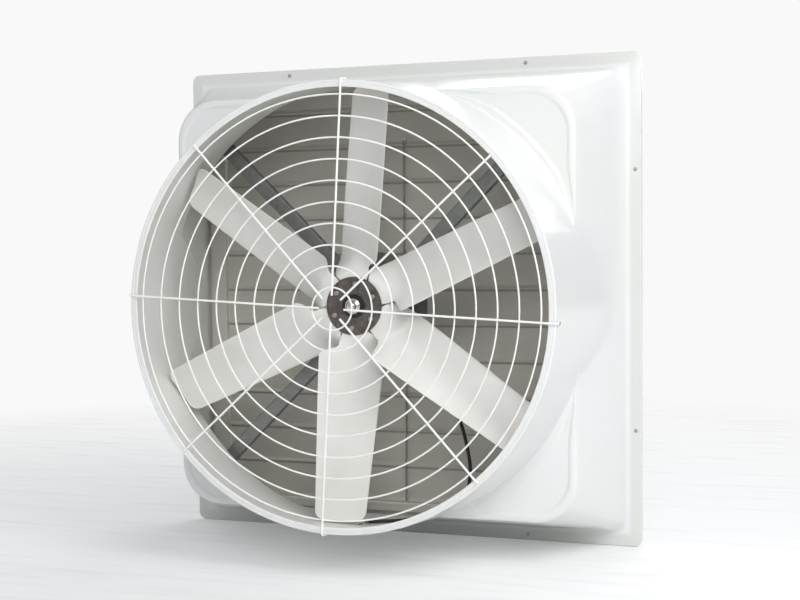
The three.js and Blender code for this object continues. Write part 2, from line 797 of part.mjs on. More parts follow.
function makeTerminalBox() {
  const [deep, along, tall] = terminalBoxSize;
  const inner = motorRadius + touchGap;
  const plateBack = strutFrontAhead - strutDepth - touchGap - framePlateThickness;
  const boxAhead = plateBack - touchGap - along / 2;
  const wall = 3;
  const shell = new THREE.BoxGeometry(deep, along, tall);
  shell.translate(inner + deep / 2, -boxAhead, 0);
  const hollow = new THREE.BoxGeometry(deep, along - 2 * wall, tall - 2 * wall);
  hollow.translate(inner + deep / 2 + wall, -boxAhead, 0);
  const glandX = inner + deep / 2 + 1.7;
  const glandStem = glandRadius - 3.4;
  const glandHole = rod(
    glandStem + 2 * touchGap,
    [glandX, -boxAhead, -tall / 2 - 1],
    [glandX, -boxAhead, -tall / 2 + wall + 1],
    12,
  );
  addMesh("terminal_box", cut(shell, [hollow, glandHole]), castPaint);

  const lid = new THREE.BoxGeometry(terminalLidThickness, along, tall);
  lid.translate(inner + deep + touchGap + terminalLidThickness / 2, -boxAhead, 0);
  addMesh("terminal_lid", lid, castPaint);

  const top = -tall / 2 - touchGap;
  const nut = rod(glandRadius, [glandX, -boxAhead, top], [glandX, -boxAhead, top - glandLength * 0.5], 6);
  const nose = rod(glandRadius - 2.5, [glandX, -boxAhead, top - 1], [glandX, -boxAhead, top - glandLength], 12);
  const stem = rod(glandStem, [glandX, -boxAhead, top - 1], [glandX, -boxAhead, top + wall + 3], 12);
  const bore = rod(
    cableRadius + touchGap,
    [glandX, -boxAhead, top - glandLength - 1],
    [glandX, -boxAhead, top + wall + 5],
    12,
  );
  addMesh("cable_gland", cut(joined([nut, nose, stem]), [bore]), blackPlastic);
}

function makeCable() {
  addMesh("motor_cable", tube(cableRoute, cableRadius, 8, 48), blackRubber);

  // The tie goes round the strut and the lead that lies along its lower side.
  const [tieX, , tieZ] = cableRoute[7];
  const reachFromAxis = (tieX - tieZ) / Math.SQRT2;
  const band = 1.2;
  const strutSide = strutWidth / 2 + 0.4;
  const cableSide = -(strutSide + 2 * cableRadius + 4);
  const back = strutFrontAhead - strutDepth - 0.4;
  const front = strutFrontAhead + 0.4;
  const outline = rectangle(cableSide - band, back - band, strutSide + band, front + band);
  outline.holes.push(rectangle(cableSide, back, strutSide, front));
  const tie = new THREE.ExtrudeGeometry(outline, { depth: tieWidth, bevelEnabled: false });
  tie.translate(0, 0, reachFromAxis - tieWidth / 2);
  tie.applyMatrix4(diagonal(315));
  addMesh("cable_tie", tie, blackPlastic);
}

// ---------------------------------------------------------------- impeller
const tongueAhead = hubFrontAhead - hubPlateThickness - touchGap - bladeThickness / 2;

// One point of the blade's middle surface: radius from the axis, and share -1 at the edge that leads
// to +1 at the edge that trails. The blade leaves the hub flat, then twists to its working pitch.
function bladePoint(radius, share, face) {
  const along = (radius - bladeFullRadius) / (bladeTipRadius - bladeFullRadius);
  const fullHalf = mix(bladeRootHalf, bladeTipHalf, Math.max(along, 0));
  const trailing = mix(tongueHalf, fullHalf, smooth(radius, 105, bladeFullRadius - 8));
  const leading = mix(tongueHalf, fullHalf, smooth(radius, bladeTongueRadius, bladeFullRadius - 45));
  const grow = Math.max(0, Math.min(radius, 105) - bladeTongueRadius) * 0.25;
  const tipStart = bladeTipRadius - tipRounding;
  const intoTip = Math.max(0, radius - tipStart);
  const rounding = tipRounding - Math.sqrt(Math.max(0, tipRounding ** 2 - intoTip ** 2));
  const half = Math.max(share > 0 ? trailing : leading, tongueHalf + grow) - rounding;
  const twist = smooth(radius, hubRadius + 2, bladeFullRadius - 5);
  const pitch = degrees(mix(bladeRootPitch, bladeTipPitch, Math.max(along, 0)) * twist);
  const sideways = share * half;
  const camber = bladeCamber * twist * (1 - share * share);
  const middle = mix(tongueAhead, bladeAhead, twist);
  const ahead = middle + sideways * Math.tan(pitch) - camber + (face * bladeThickness) / 2 / Math.cos(pitch);
  const angle = sideways / radius;
  return new THREE.Vector3(radius * Math.sin(angle), -ahead, radius * Math.cos(angle));
}

function makeBladeGeometry() {
  const radii = [bladeTongueRadius, hubRadius, 94, 110, 126, 144, bladeFullRadius, 270, 380, 490];
  for (const share of [0, 0.5, 0.8, 0.95]) radii.push(bladeTipRadius - tipRounding * (1 - share));
  radii.push(bladeTipRadius - 0.05);
  const shares = [1, 0.6, 0.2, -0.2, -0.6, -1];
  // Each row runs over the front face from edge to edge, then back over the rear face.
  const rows = radii.map((radius) => [
    ...shares.map((share) => bladePoint(radius, share, 1)),
    ...[...shares].reverse().map((share) => bladePoint(radius, share, -1)),
  ]);
  const skin = surface(rows, false, true);
  const frontOf = (row) => row.slice(0, shares.length);
  const backOf = (row) => row.slice(shares.length).reverse();
  const root = rows[0];
  const tip = rows[rows.length - 1];
  const ends = [
    surface([backOf(root), frontOf(root)], false, false),
    surface([frontOf(tip), backOf(tip)], false, false),
  ];
  const corners = [skin, ...ends].flatMap((piece) => {
    const position = piece.getAttribute("position");
    return Array.from({ length: position.count }, (_, i) => new THREE.Vector3().fromBufferAttribute(position, i));
  });
  const blade = new THREE.BufferGeometry().setFromPoints(corners);
  const boltHole = rod(
    hubBoltRadius + touchGap,
    [0, -tongueAhead - bladeThickness, hubBoltCircle],
    [0, -tongueAhead + bladeThickness, hubBoltCircle],
    10,
  );
  return cut(blade, [boltHole]);
}

function makeImpeller() {
  const bladeGeometry = makeBladeGeometry();
  const turnOf = (i) => degrees(bladeTurn + (360 / bladeCount) * i);
  for (let i = 0; i < bladeCount; i += 1) {
    const blade = addMesh(`fan_blade_${i + 1}`, bladeGeometry, bladePlastic);
    blade.rotation.y = turnOf(i);
  }

  const bore = shaftRadius + touchGap;
  const plateShape = circleShape(hubRadius, 36);
  plateShape.holes.push(circleShape(bore, 24));
  for (let i = 0; i < bladeCount; i += 1) {
    const hole = new THREE.Path();
    const angle = Math.PI / 2 - turnOf(i);
    const place = [hubBoltCircle * Math.cos(angle), hubBoltCircle * Math.sin(angle)];
    hole.absarc(...place, hubBoltRadius + touchGap, 0, 2 * Math.PI, true);
    plateShape.holes.push(hole);
  }
  const frontPlate = plateAhead(plateShape, hubFrontAhead - hubPlateThickness, hubFrontAhead, 5);
  addMesh("hub_front_plate", frontPlate, darkPaint);
  const rearFront = tongueAhead - bladeThickness / 2 - touchGap;
  const rearPlate = plateAhead(plateShape, rearFront - hubPlateThickness, rearFront, 5);
  const bossStart = rearFront - hubPlateThickness - hubBossLength;
  const boss = ring(hubBossRadius, bore, bossStart, rearFront - hubPlateThickness + 1);
  addMesh("hub_rear_plate", joined([rearPlate, boss]), darkPaint);

  for (let i = 0; i < bladeCount; i += 1) {
    const angle = Math.PI / 2 - turnOf(i);
    const at = (ahead) => outward(angle, hubBoltCircle, ahead);
    const headSeat = hubFrontAhead + touchGap;
    const head = rod(hubBoltHead, at(headSeat), at(headSeat + hubBoltHeadHeight), 6);
    const shank = rod(hubBoltRadius, at(rearFront - hubPlateThickness + 1), at(headSeat + 1), 8);
    addMesh(`hub_bolt_${i + 1}`, joined([head, shank]), zincPlate);
  }

  const washerStart = hubFrontAhead + touchGap;
  const washerEnd = washerStart + washerThickness;
  addMesh("hub_washer", ring(washerRadius, bore, washerStart, washerEnd), blackPlastic);
  const capStart = washerEnd + touchGap;
  const capProfile = [
    [0, capStart],
    [capRadius, capStart],
    [capRadius, capStart + 7],
    [capRadius * 0.8, capStart + 10],
    [capRadius * 0.62, capStart + 13],
    [capRadius * 0.6, capStart + capHeight * 0.75],
    [capRadius * 0.42, capStart + capHeight * 0.95],
    [0, capStart + capHeight],
  ];
  addMesh("shaft_cap", turned(capProfile, 24), brightSteel);
}

// ---------------------------------------------------------------- the whole fan
makeHousing();
makeGuard();
makeShutterFrame();
makeLouvres();
makeLinkRod();
makeStruts();
makeMotor();
makeTerminalBox();
makeCable();
makeImpeller();

// The origin is on the ground under the middle of the fan's whole depth.
const rearEnd = flangeThickness;
const frontEnd = mouthAhead + touchGap + 2 * spokeWire;
fan.position.set(0, (frontEnd - rearEnd) / 2, flangeSize / 2);

export default part;
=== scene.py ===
# %% [markdown]
# # A square greenhouse wall fan
# The fan is a fibreglass moulding that runs from a square wall flange to a round outlet. Inside it a
# motor on four struts turns six blades, a wire guard covers the outlet, and louvres close the back.
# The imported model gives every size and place. This notebook gives the surfaces their real finish.

# %% Load the frame
import math

import bmesh
import bpy
from mathutils import Matrix, Vector


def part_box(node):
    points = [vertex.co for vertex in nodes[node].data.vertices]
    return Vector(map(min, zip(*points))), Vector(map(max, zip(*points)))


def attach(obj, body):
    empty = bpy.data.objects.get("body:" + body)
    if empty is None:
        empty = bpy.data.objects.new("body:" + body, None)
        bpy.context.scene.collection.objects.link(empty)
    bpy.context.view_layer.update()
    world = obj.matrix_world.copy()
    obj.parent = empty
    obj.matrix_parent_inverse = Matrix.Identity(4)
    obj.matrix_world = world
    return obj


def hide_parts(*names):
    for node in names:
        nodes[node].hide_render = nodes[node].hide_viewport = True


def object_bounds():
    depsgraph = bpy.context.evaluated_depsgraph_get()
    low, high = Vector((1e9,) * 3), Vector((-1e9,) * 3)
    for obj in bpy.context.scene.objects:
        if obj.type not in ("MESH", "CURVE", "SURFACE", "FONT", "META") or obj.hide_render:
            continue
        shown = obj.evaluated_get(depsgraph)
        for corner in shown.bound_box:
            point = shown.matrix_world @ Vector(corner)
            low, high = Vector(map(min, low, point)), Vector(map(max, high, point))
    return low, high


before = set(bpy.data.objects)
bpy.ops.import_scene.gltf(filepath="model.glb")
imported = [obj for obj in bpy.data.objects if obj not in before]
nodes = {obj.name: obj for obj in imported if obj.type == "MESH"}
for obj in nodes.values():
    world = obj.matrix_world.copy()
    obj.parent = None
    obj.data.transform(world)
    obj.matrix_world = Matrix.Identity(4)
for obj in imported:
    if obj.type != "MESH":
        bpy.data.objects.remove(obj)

cad_low, cad_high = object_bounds()
print("model box", [round(v, 3) for v in cad_high - cad_low], "m,", len(nodes), "nodes")

# %% [markdown]
# All places are worked out from the centre of the flange's front plane. "Ahead" is the distance from
# there towards the outlet, which is -y. Lengths are written in millimetres, as a workshop does, and
# one function turns them to metres in the model's frame.

# %% Places
MM = 0.001
flange_thickness = 14
flange_size = (cad_high.x - cad_low.x) / MM
centre_height = (cad_low.z + cad_high.z) / 2
flange_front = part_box("housing")[1].y - flange_thickness * MM


def place(x, ahead, up):
    """A point in metres, from millimetres across, ahead and up from the flange's centre."""
    return Vector((x * MM, flange_front - ahead * MM, centre_height + up * MM))


def around(angle, radius, ahead):
    """A point at an angle (radians, from +x towards +z) and a radius from the shaft's axis."""
    return place(radius * math.cos(angle), ahead, radius * math.sin(angle))


centre = place(0, 0, 0)
print("flange", round(flange_size), "mm, its front plane at y =", round(flange_front, 4))

# %% [markdown]
# The camera stands a little to the right of the outlet, at the height of the shaft, two and a half
# flange widths away. It comes first, because the lead's hidden length is judged by what it sees.

# %% Camera
def put_in_scene(name, data):
    """A new object in the scene."""
    made = bpy.data.objects.new(name, data)
    bpy.context.scene.collection.objects.link(made)
    return made


camera_data = bpy.data.cameras.new("camera")
camera_data.sensor_width = 36
camera_data.lens = 59.04
camera = put_in_scene("camera", camera_data)
yaw, pitch, roll = (math.radians(v) for v in (18.9, -2.261, 0.517))
aim = Matrix.Rotation(yaw, 4, "Z") @ Matrix.Rotation(pitch, 4, "X") @ Matrix.Rotation(roll, 4, "Y")
stand = place(0.8937 * flange_size, 2.6503 * flange_size, 0.1096 * flange_size)
camera.matrix_world = Matrix.Translation(stand) @ aim @ Matrix.Rotation(math.pi / 2, 4, "X")
bpy.context.scene.camera = camera
print("camera at", [round(v, 2) for v in stand])

# %% [markdown]
# Colours are written as sRGB hex, as a paint chart gives them. Shaders work in linear light, so one
# function turns the one into the other. One more function adds a node with its settings and links,
# for shaders and for geometry alike.

# %% Colour, node and material helpers
def colour(code):
    """An sRGB hex code as linear RGBA."""
    channels = [int(code[i : i + 2], 16) / 255 for i in (1, 3, 5)]
    linear = [c / 12.92 if c <= 0.04045 else ((c + 0.055) / 1.055) ** 2.4 for c in channels]
    return (*linear, 1.0)


def add(tree, kind, inputs=None, **settings):
    """Adds one node. Its inputs are values, or sockets to link from."""
    node = tree.nodes.new(kind)
    for key, value in settings.items():
        setattr(node, key, value)
    for key, value in (inputs or {}).items():
        if isinstance(value, bpy.types.NodeSocket):
            tree.links.new(value, node.inputs[key])
        else:
            node.inputs[key].default_value = value
    return node


def start_material(name, **fixed):
    """A new material, its tree, its shader and the object's own coordinates."""
    made = bpy.data.materials.new(name)
    made.use_nodes = True
    tree = made.node_tree
    shader = tree.nodes["Principled BSDF"]
    for key, value in fixed.items():
        shader.inputs[key.replace("_", " ")].default_value = value
    where = add(tree, "ShaderNodeTexCoord").outputs["Object"]
    return made, tree, shader, where


def blended(tree, pattern, start, end, first, second, most=1.0):
    """The first colour where a pattern is at start, going over to the second where it is at end."""
    ends = {"Value": pattern, "From Min": start, "From Max": end, "To Max": most}
    share = add(tree, "ShaderNodeMapRange", ends).outputs["Result"]
    return add(tree, "ShaderNodeMix", {0: share, 6: first, 7: second}, data_type="RGBA").outputs[2]


def link_finish(tree, shader, base, roughness, normal):
    """Links the three patterns that every finish here has."""
    tree.links.new(base, shader.inputs["Base Color"])
    tree.links.new(roughness, shader.inputs["Roughness"])
    tree.links.new(normal, shader.inputs["Normal"])


finishes = {}
print("helpers ready")

# %% [markdown]
# **Gelcoat on glass fibre.** White gelcoat is sprayed into a polished mould and backed with glass
# mat, so the face comes out glossy. Long slow waves from the mould and the shrinking resin show in
# its reflections, with a finer ripple from the mat, and years of dust grey it in broad patches.

# %% Gelcoat
gelcoat, tree, shader, where = start_material("gelcoat_fibreglass", Coat_Weight=0.2, Coat_Roughness=0.06)
patches = add(tree, "ShaderNodeTexNoise", {"Vector": where, "Scale": 1 / (420 * MM), "Detail": 3.0})
dust = add(tree, "ShaderNodeTexNoise", {"Vector": where, "Scale": 1 / (38 * MM), "Detail": 6.0})
tint = blended(tree, patches.outputs["Fac"], 0.35, 0.7, colour("#dfe1e1"), colour("#dedfdb"))
dusty = blended(tree, dust.outputs["Fac"], 0.5, 0.85, tint, colour("#cdcec9"), 0.12)
# The flange is painted a little darker and warmer than the curved faces: partly its own matte tone,
# partly painted shade on the flat front, which gets less of the light from above.
from_centre = add(tree, "ShaderNodeMapping", {"Vector": where, "Location": (0, 0, -centre_height)})
sides = add(tree, "ShaderNodeVectorMath", {0: from_centre.outputs[0]}, operation="ABSOLUTE")
across = add(tree, "ShaderNodeSeparateXYZ", {0: sides.outputs[0]})
reach = add(tree, "ShaderNodeMath", {0: across.outputs["X"], 1: across.outputs["Z"]}, operation="MAXIMUM")
flange_painted_darker = blended(tree, reach.outputs[0], 0.69, 0.7, dusty, colour("#d3d4d0"))
gloss = add(
    tree,
    "ShaderNodeMapRange",
    {"Value": dust.outputs["Fac"], "From Min": 0.3, "From Max": 0.75, "To Min": 0.2, "To Max": 0.26},
)
waves = add(tree, "ShaderNodeTexNoise", {"Vector": where, "Scale": 1 / (150 * MM), "Detail": 1.0})
ripple = add(tree, "ShaderNodeTexNoise", {"Vector": where, "Scale": 1 / (9 * MM), "Detail": 2.0})
waved = add(tree, "ShaderNodeBump", {"Height": waves.outputs["Fac"], "Distance": 0.9 * MM, "Strength": 1.0})
rippled = add(
    tree,
    "ShaderNodeBump",
    {"Height": ripple.outputs["Fac"], "Distance": 0.008 * MM, "Normal": waved.outputs[0], "Strength": 1.0},
)
link_finish(tree, shader, flange_painted_darker, gloss.outputs["Result"], rippled.outputs[0])
finishes["gelcoat_fibreglass"] = gelcoat
print("gelcoat:", len(tree.nodes), "nodes")

# %% [markdown]
# **Moulded, coated and painted pieces.** The guard's wire is dipped in white vinyl, the blades are
# moulded in glass-filled nylon, the hub and the motor are sprayed with enamel, and the small fittings
# are black plastic or rubber. They differ in colour, gloss and grain, but each has the same two
# patterns: a slow one that shifts its colour and gloss, and a fine one that the eye reads as grain.

# %% Plastics, rubber and enamel
def coated_finish(name, light, dark, patch_mm, gloss_range, grain_mm, grain_depth_mm, **fixed):
    """A non-metal surface: two close colours in patches, a range of gloss, and a grain."""
    made, tree, shader, where = start_material(name, **fixed)
    patches = add(tree, "ShaderNodeTexNoise", {"Vector": where, "Scale": 1 / (patch_mm * MM), "Detail": 4.0})
    base = blended(tree, patches.outputs["Fac"], 0.3, 0.7, colour(light), colour(dark))
    gloss = add(
        tree,
        "ShaderNodeMapRange",
        {"Value": patches.outputs["Fac"], "To Min": gloss_range[0], "To Max": gloss_range[1]},
    )
    grain = add(tree, "ShaderNodeTexNoise", {"Vector": where, "Scale": 1 / (grain_mm * MM), "Detail": 2.0})
    bumped = add(
        tree,
        "ShaderNodeBump",
        {"Height": grain.outputs["Fac"], "Distance": grain_depth_mm * MM, "Strength": 1.0},
    )
    link_finish(tree, shader, base, gloss.outputs["Result"], bumped.outputs[0])
    finishes[name] = made


# The flow coat on the duct's inside is rougher than the gelcoat. Its lighter white is painted light.
coated_finish("flow_coat", "#f1f1ee", "#e9e9e5", 200, (0.3, 0.45), 7, 0.03)
coated_finish("coated_wire", "#f3f3f0", "#e9e9e4", 60, (0.22, 0.38), 6, 0.12, Coat_Weight=0.15)
coated_finish("blade_nylon", "#e9e8e4", "#e1dfda", 130, (0.2, 0.3), 2.5, 0.006)
coated_finish("dark_hub_paint", "#5c534e", "#3c3531", 25, (0.1, 0.2), 4, 0.03, Coat_Weight=0.5)
coated_finish("motor_paint", "#757a78", "#63686a", 40, (0.38, 0.58), 1.8, 0.25)
coated_finish("black_plastic", "#121212", "#0d0d0d", 20, (0.35, 0.5), 1.2, 0.05)
coated_finish("cable_rubber", "#191919", "#121212", 30, (0.42, 0.62), 2, 0.06)
coated_finish("brown_core", "#6b4026", "#5c351f", 8, (0.35, 0.5), 1.5, 0.02)
coated_finish("blue_core", "#2f6da3", "#295f90", 8, (0.35, 0.5), 1.5, 0.02)
coated_finish("earth_core", "#9fae2c", "#3f8a3c", 5, (0.35, 0.5), 1.5, 0.02)
print(len(finishes), "finishes so far")

# %% [markdown]
# **Mill-finish aluminium.** The louvres and their frame are rolled sheet, left as it came from the
# mill. Rolling leaves faint streaks along the sheet, and outdoor air dulls it to a soft grey, so its
# reflections are wide and blurred. **Galvanised steel** is dipped in molten zinc, which freezes in
# flat crystals, each a slightly different grey. **Zinc-plated and turned steel** is small and bright.

# %% Metals
def metal_finish(name, light, dark, cell_mm, stretch, gloss_range, depth_mm, spangled=False, metallic=1.0):
    """A metal in two close tones, in crystals or in streaks. Oxide makes old sheet less metallic."""
    made, tree, shader, where = start_material(name, Metallic=metallic)
    run = add(tree, "ShaderNodeMapping", {"Vector": where, "Scale": [1 / s for s in stretch]})
    size = 1 / (cell_mm * MM)
    if spangled:
        cells = add(tree, "ShaderNodeTexVoronoi", {"Vector": run.outputs[0], "Scale": size})
        grey = add(tree, "ShaderNodeSeparateColor", {"Color": cells.outputs["Color"]}).outputs["Red"]
    else:
        grey = add(
            tree, "ShaderNodeTexNoise", {"Vector": run.outputs[0], "Scale": size, "Detail": 5.0}
        ).outputs["Fac"]
    base = add(tree, "ShaderNodeMix", {0: grey, 6: colour(light), 7: colour(dark)}, data_type="RGBA")
    gloss = add(
        tree, "ShaderNodeMapRange", {"Value": grey, "To Min": gloss_range[0], "To Max": gloss_range[1]}
    )
    bumped = add(tree, "ShaderNodeBump", {"Height": grey, "Distance": depth_mm * MM, "Strength": 1.0})
    link_finish(tree, shader, base.outputs[2], gloss.outputs["Result"], bumped.outputs[0])
    finishes[name] = made


metal_finish("louvre_aluminium", "#d8d5cd", "#cbc8bf", 4, (60, 1, 1), (0.42, 0.58), 0.01, metallic=0.3)
metal_finish("frame_aluminium", "#dcdad3", "#cfccc4", 4, (60, 1, 1), (0.42, 0.58), 0.01, metallic=0.3)
metal_finish("galvanised_steel", "#8b8e8a", "#818481", 11, (1, 1, 1), (0.42, 0.52), 0.004, True, 0.5)
metal_finish("zinc_fastener", "#b4b3af", "#9f9e9a", 3, (1, 1, 1), (0.26, 0.4), 0.02)
metal_finish("bright_steel", "#dcdcda", "#c8c8c6", 2, (1, 8, 1), (0.12, 0.24), 0.01)
metal_finish("motor_core", "#a2714d", "#8a5c3c", 3, (1, 1, 1), (0.4, 0.6), 0.05)
print(len(finishes), "finishes")

# %% [markdown]
# Nodes whose shape is already right keep their shape and only get a finish. Each node's slot is
# named in the record, and the finishes above carry the same names.

# %% Finish the nodes that stay
def slot_of(name):
    """The finish that a node's first material slot is named for, or galvanised steel."""
    current = nodes[name].data.materials[0].name
    for finish_name in finishes:
        if current.startswith(finish_name):
            return finish_name
    return "galvanised_steel"


slot_names = {name: slot_of(name) for name in nodes}
for name, finish_name in slot_names.items():
    for i in range(len(nodes[name].data.materials)):
        nodes[name].data.materials[i] = finishes[finish_name]
nodes["louvre_link_rod"].data.materials[0] = finishes["zinc_fastener"]
print("slots in use:", sorted(set(slot_names.values())))

# %% [markdown]
# A piece is made from shells of points and faces. Points that fall together are merged, the faces
# are turned outwards, and edges sharper than an angle stay sharp while the rest are shaded smooth.

# %% Piece helpers
def skin(rows, close_rows=True):
    """Faces between rows of points. Each row is a closed ring, and all have the same length."""
    columns = len(rows[0])
    points = [point for row in rows for point in row]
    faces = []
    for i in range(len(rows) if close_rows else len(rows) - 1):
        here = i * columns
        there = (i + 1) % len(rows) * columns
        for j in range(columns):
            after = (j + 1) % columns
            faces.append((here + j, there + j, there + after, here + after))
    return points, faces


def capped(rows):
    """A closed skin over outlines in rows, with the first and the last outline filled."""
    points, faces = skin(rows, close_rows=False)
    columns = len(rows[0])
    faces.append(tuple(range(columns)))
    faces.append(tuple(range(len(points) - columns, len(points))))
    return points, faces


def make_mesh(name, shells, finish_name, sharp_degrees=32):
    """A mesh of one or more closed shells, in metres."""
    shape = bmesh.new()
    for points, faces in shells:
        made = [shape.verts.new(point) for point in points]
        for face in faces:
            shape.faces.new([made[i] for i in face])
    bmesh.ops.remove_doubles(shape, verts=shape.verts, dist=0.002 * MM)
    bmesh.ops.dissolve_degenerate(shape, edges=shape.edges, dist=0.001 * MM)
    bmesh.ops.recalc_face_normals(shape, faces=shape.faces)
    mesh = bpy.data.meshes.new(name)
    shape.to_mesh(mesh)
    shape.free()
    mesh.materials.append(finishes[finish_name])
    mesh.shade_smooth()
    mesh.set_sharp_from_angle(angle=math.radians(sharp_degrees))
    return mesh


def finish_piece(mesh, body, stands_for=()):
    """Puts a mesh in the scene, on its body, and hides the nodes that it stands for."""
    piece = put_in_scene(mesh.name, mesh)
    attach(piece, body)
    if stands_for:
        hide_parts(*stands_for)
    print(mesh.name, "-", len(mesh.polygons), "faces")


def rounded(corners, radii, steps=4):
    """A closed outline with its corners rounded. A radius is limited by the sides next to it."""
    outline = []
    for i, corner in enumerate(corners):
        here = Vector(corner)
        back = Vector(corners[i - 1]) - here
        on = Vector(corners[(i + 1) % len(corners)]) - here
        if radii[i] == 0:
            outline.append(here)
            continue
        shortest = min(back.length, on.length)
        half_angle = back.angle(on, math.pi) / 2 if shortest > 1e-6 else math.pi / 2
        reach = min(radii[i] / max(math.tan(half_angle), 1e-6), 0.48 * shortest)
        start, end = here + back.normalized() * reach, here + on.normalized() * reach
        for k in range(steps + 1):
            share = k / steps
            outline.append(start.lerp(here, share).lerp(here.lerp(end, share), share))
    return outline


def smooth_step(value, low, high):
    """0 below low, 1 above high, and an even curve between."""
    share = min(1.0, max(0.0, (value - low) / (high - low)))
    return share * share * (3 - 2 * share)


def turned(profile):
    """A closed profile of (radius, ahead) turned round the shaft's axis."""
    return skin([[around(math.tau * i / 64, r, a) for r, a in profile] for i in range(64)])


print("piece helpers ready")

# %% [markdown]
# **The housing** is one moulding. Seen along the shaft, its wall at each angle is a short outline:
# the flange, the sloping box, a flat corner panel, the cone and the lip at its mouth. A mould needs
# round edges to let go of the part, so each corner of that outline has its own radius. Sweeping the
# outline round the shaft, with its sizes changing with the angle, gives the whole skin in one go.

# %% Housing sizes
rebate_half = 696
rebate_floor = 11
box_root_half = 686
box_root_corner = 42
box_front_half = 602
box_front_corner = 120
box_depth = 343
mouth_ahead = 622.5
mouth_radius = 607
cone_taper = 0.106
wall = 5
rim_width = 18
rim_thickness = 6
crease_radius = 450
panel_step = 3
panel_border = 20
panel_slope = 1.45


def square_radius(angle, half, corner):
    """Distance from the axis to a square with rounded corners."""
    across = max(abs(math.cos(angle)), abs(math.sin(angle)))
    along = min(abs(math.cos(angle)), abs(math.sin(angle)))
    straight = half - corner
    if half * along / across <= straight:
        return half / across
    apart = across - along
    return straight * (across + along) + math.sqrt(max(0, corner**2 - (straight * apart) ** 2))


def box_radius(angle, ahead, inset=0.0):
    """Distance from the axis to the box's outside, or to its inside with the wall as the inset."""
    share = ahead / box_depth
    half = box_root_half + (box_front_half - box_root_half) * share - inset
    corner = box_root_corner + (box_front_corner - box_root_corner) * share - inset
    return square_radius(angle, half, corner)


def cone_radius(ahead, inset=0.0):
    """Radius of the cone's outside, or of its inside."""
    return mouth_radius + cone_taper * (mouth_ahead - ahead) - inset


def wall_end(angle, inset=0.0):
    """How far ahead the box's wall ends: at its front in the corners, or where it meets the cone."""
    front = box_depth - inset
    if box_radius(angle, front, inset) > cone_radius(front, inset):
        return front
    near, far = 0.0, front
    for _ in range(30):
        middle = (near + far) / 2
        if box_radius(angle, middle, inset) > cone_radius(middle, inset):
            near = middle
        else:
            far = middle
    return near


print("cone radius at the box's front:", round(cone_radius(box_depth), 1), "mm")

# %% Housing outline at one angle
def housing_outline(angle):
    """The wall's closed outline as (radius, ahead) corners with their radii, rounded."""
    flange = square_radius(angle, flange_size / 2, 25)
    end, inner_end = wall_end(angle), wall_end(angle, wall)
    front, inner_front = box_depth, box_depth - wall
    rim_back = mouth_ahead - rim_thickness
    box_edge, cone_edge = box_radius(angle, end), cone_radius(front)
    if end < front - 0.01:
        # On the flat sides the box's wall runs into the cone at a shallow crease.
        panel = [((box_edge, end), crease_radius)]
        for share in (0.5, 0.6, 0.7, 0.8):
            on_cone = end + (front - end) * share
            panel.append(((cone_radius(on_cone), on_cone), 4))
    else:
        # Where the panel narrows towards the flat sides, its border and its step shrink with it.
        border = min(panel_border, 0.24 * (box_edge - cone_edge))
        sink = panel_step * min(1.0, border / 12)
        panel = [
            ((box_edge, end), 14),
            ((box_edge - border, end), 4),
            ((box_edge - panel_slope * border, end - sink), 6),
            ((cone_edge + panel_slope * border, front - sink), 6),
            ((cone_edge + border, front), 4),
        ]
    corners = [
        ((flange, -flange_thickness), 2),
        ((flange, 0), 4),
        ((box_radius(angle, 0), 0), 16),
        *panel,
        ((cone_edge, front), 22),
        ((cone_radius(rim_back - 3), rim_back - 3), 2),
        ((mouth_radius + 2.2, mouth_ahead - 5), 2),
        ((mouth_radius, mouth_ahead), 3),
        ((mouth_radius - 5, mouth_ahead), 0.6),
        ((mouth_radius - 6, mouth_ahead - 1.6), 0.6),
        ((mouth_radius - 7, mouth_ahead), 0.6),
        ((mouth_radius - rim_width, mouth_ahead), 2),
        ((mouth_radius - rim_width, rim_back), 2),
        ((cone_radius(rim_back, wall), rim_back), 6),
        ((cone_radius(inner_front, wall), inner_front), 10),
        ((box_radius(angle, inner_end, wall), inner_end), 12),
        ((box_radius(angle, 0, wall), 0), 0),
        ((box_radius(angle, 0, wall), -rebate_floor), 0),
        ((square_radius(angle, rebate_half, 0), -rebate_floor), 0),
        ((square_radius(angle, rebate_half, 0), -flange_thickness), 0),
    ]
    return rounded([c for c, _ in corners], [r for _, r in corners])


# Angles crowd towards each diagonal, where the corners are round.
octant_steps = 34
octant = [45 * (1 - (1 - k / octant_steps) ** 1.7) for k in range(octant_steps)]
quarter = octant + [90 - a for a in [45, *reversed(octant[1:])]]
angles = [math.radians(90 * turn + a) for turn in range(4) for a in quarter]
housing_skin = skin([[around(a, r, h) for r, h in housing_outline(a)] for a in angles])
housing_mesh = make_mesh("housing_skin", [housing_skin], "gelcoat_fibreglass", 40)
housing_mesh.materials.append(finishes["flow_coat"])
# Faces that look back at the shaft are the inside. They show the flow coat, whose lighter white is painted
# light that lifts the shaded duct.
for face in housing_mesh.polygons:
    out = Vector((face.center.x - centre.x, 0, face.center.z - centre.z)).normalized()
    if face.normal.dot(out) < -0.5:
        face.material_index = 1
finish_piece(housing_mesh, "fan_body", ["housing"])

# %% [markdown]
# **The louvres** are folded from thin aluminium sheet: a rolled barrel along the top for the hinge
# pins, a slightly bowed face, and a folded hem along the bottom edge that stiffens it. Each louvre is
# its own piece, because each one swings. They share one outline, drawn once with its true curves.

# %% Louvres
louvre_count = 11
louvre_pitch = 111
lowest_hinge = -517
drop = 116
lean = 5.2
bulge = 2.5
barrel = 4
hem_flare = 4
half_sheet = 0.7
opening_half = 610
hinge_pin_radius = 3
hinge_pin_past = 7
rod_pin_ahead = 12
rod_pin_drop = 104
rod_pin_radius = 2.2
ear_radius = 4.8
ear_height = 12
ear_root = lean - 0.2
slit_half = 3
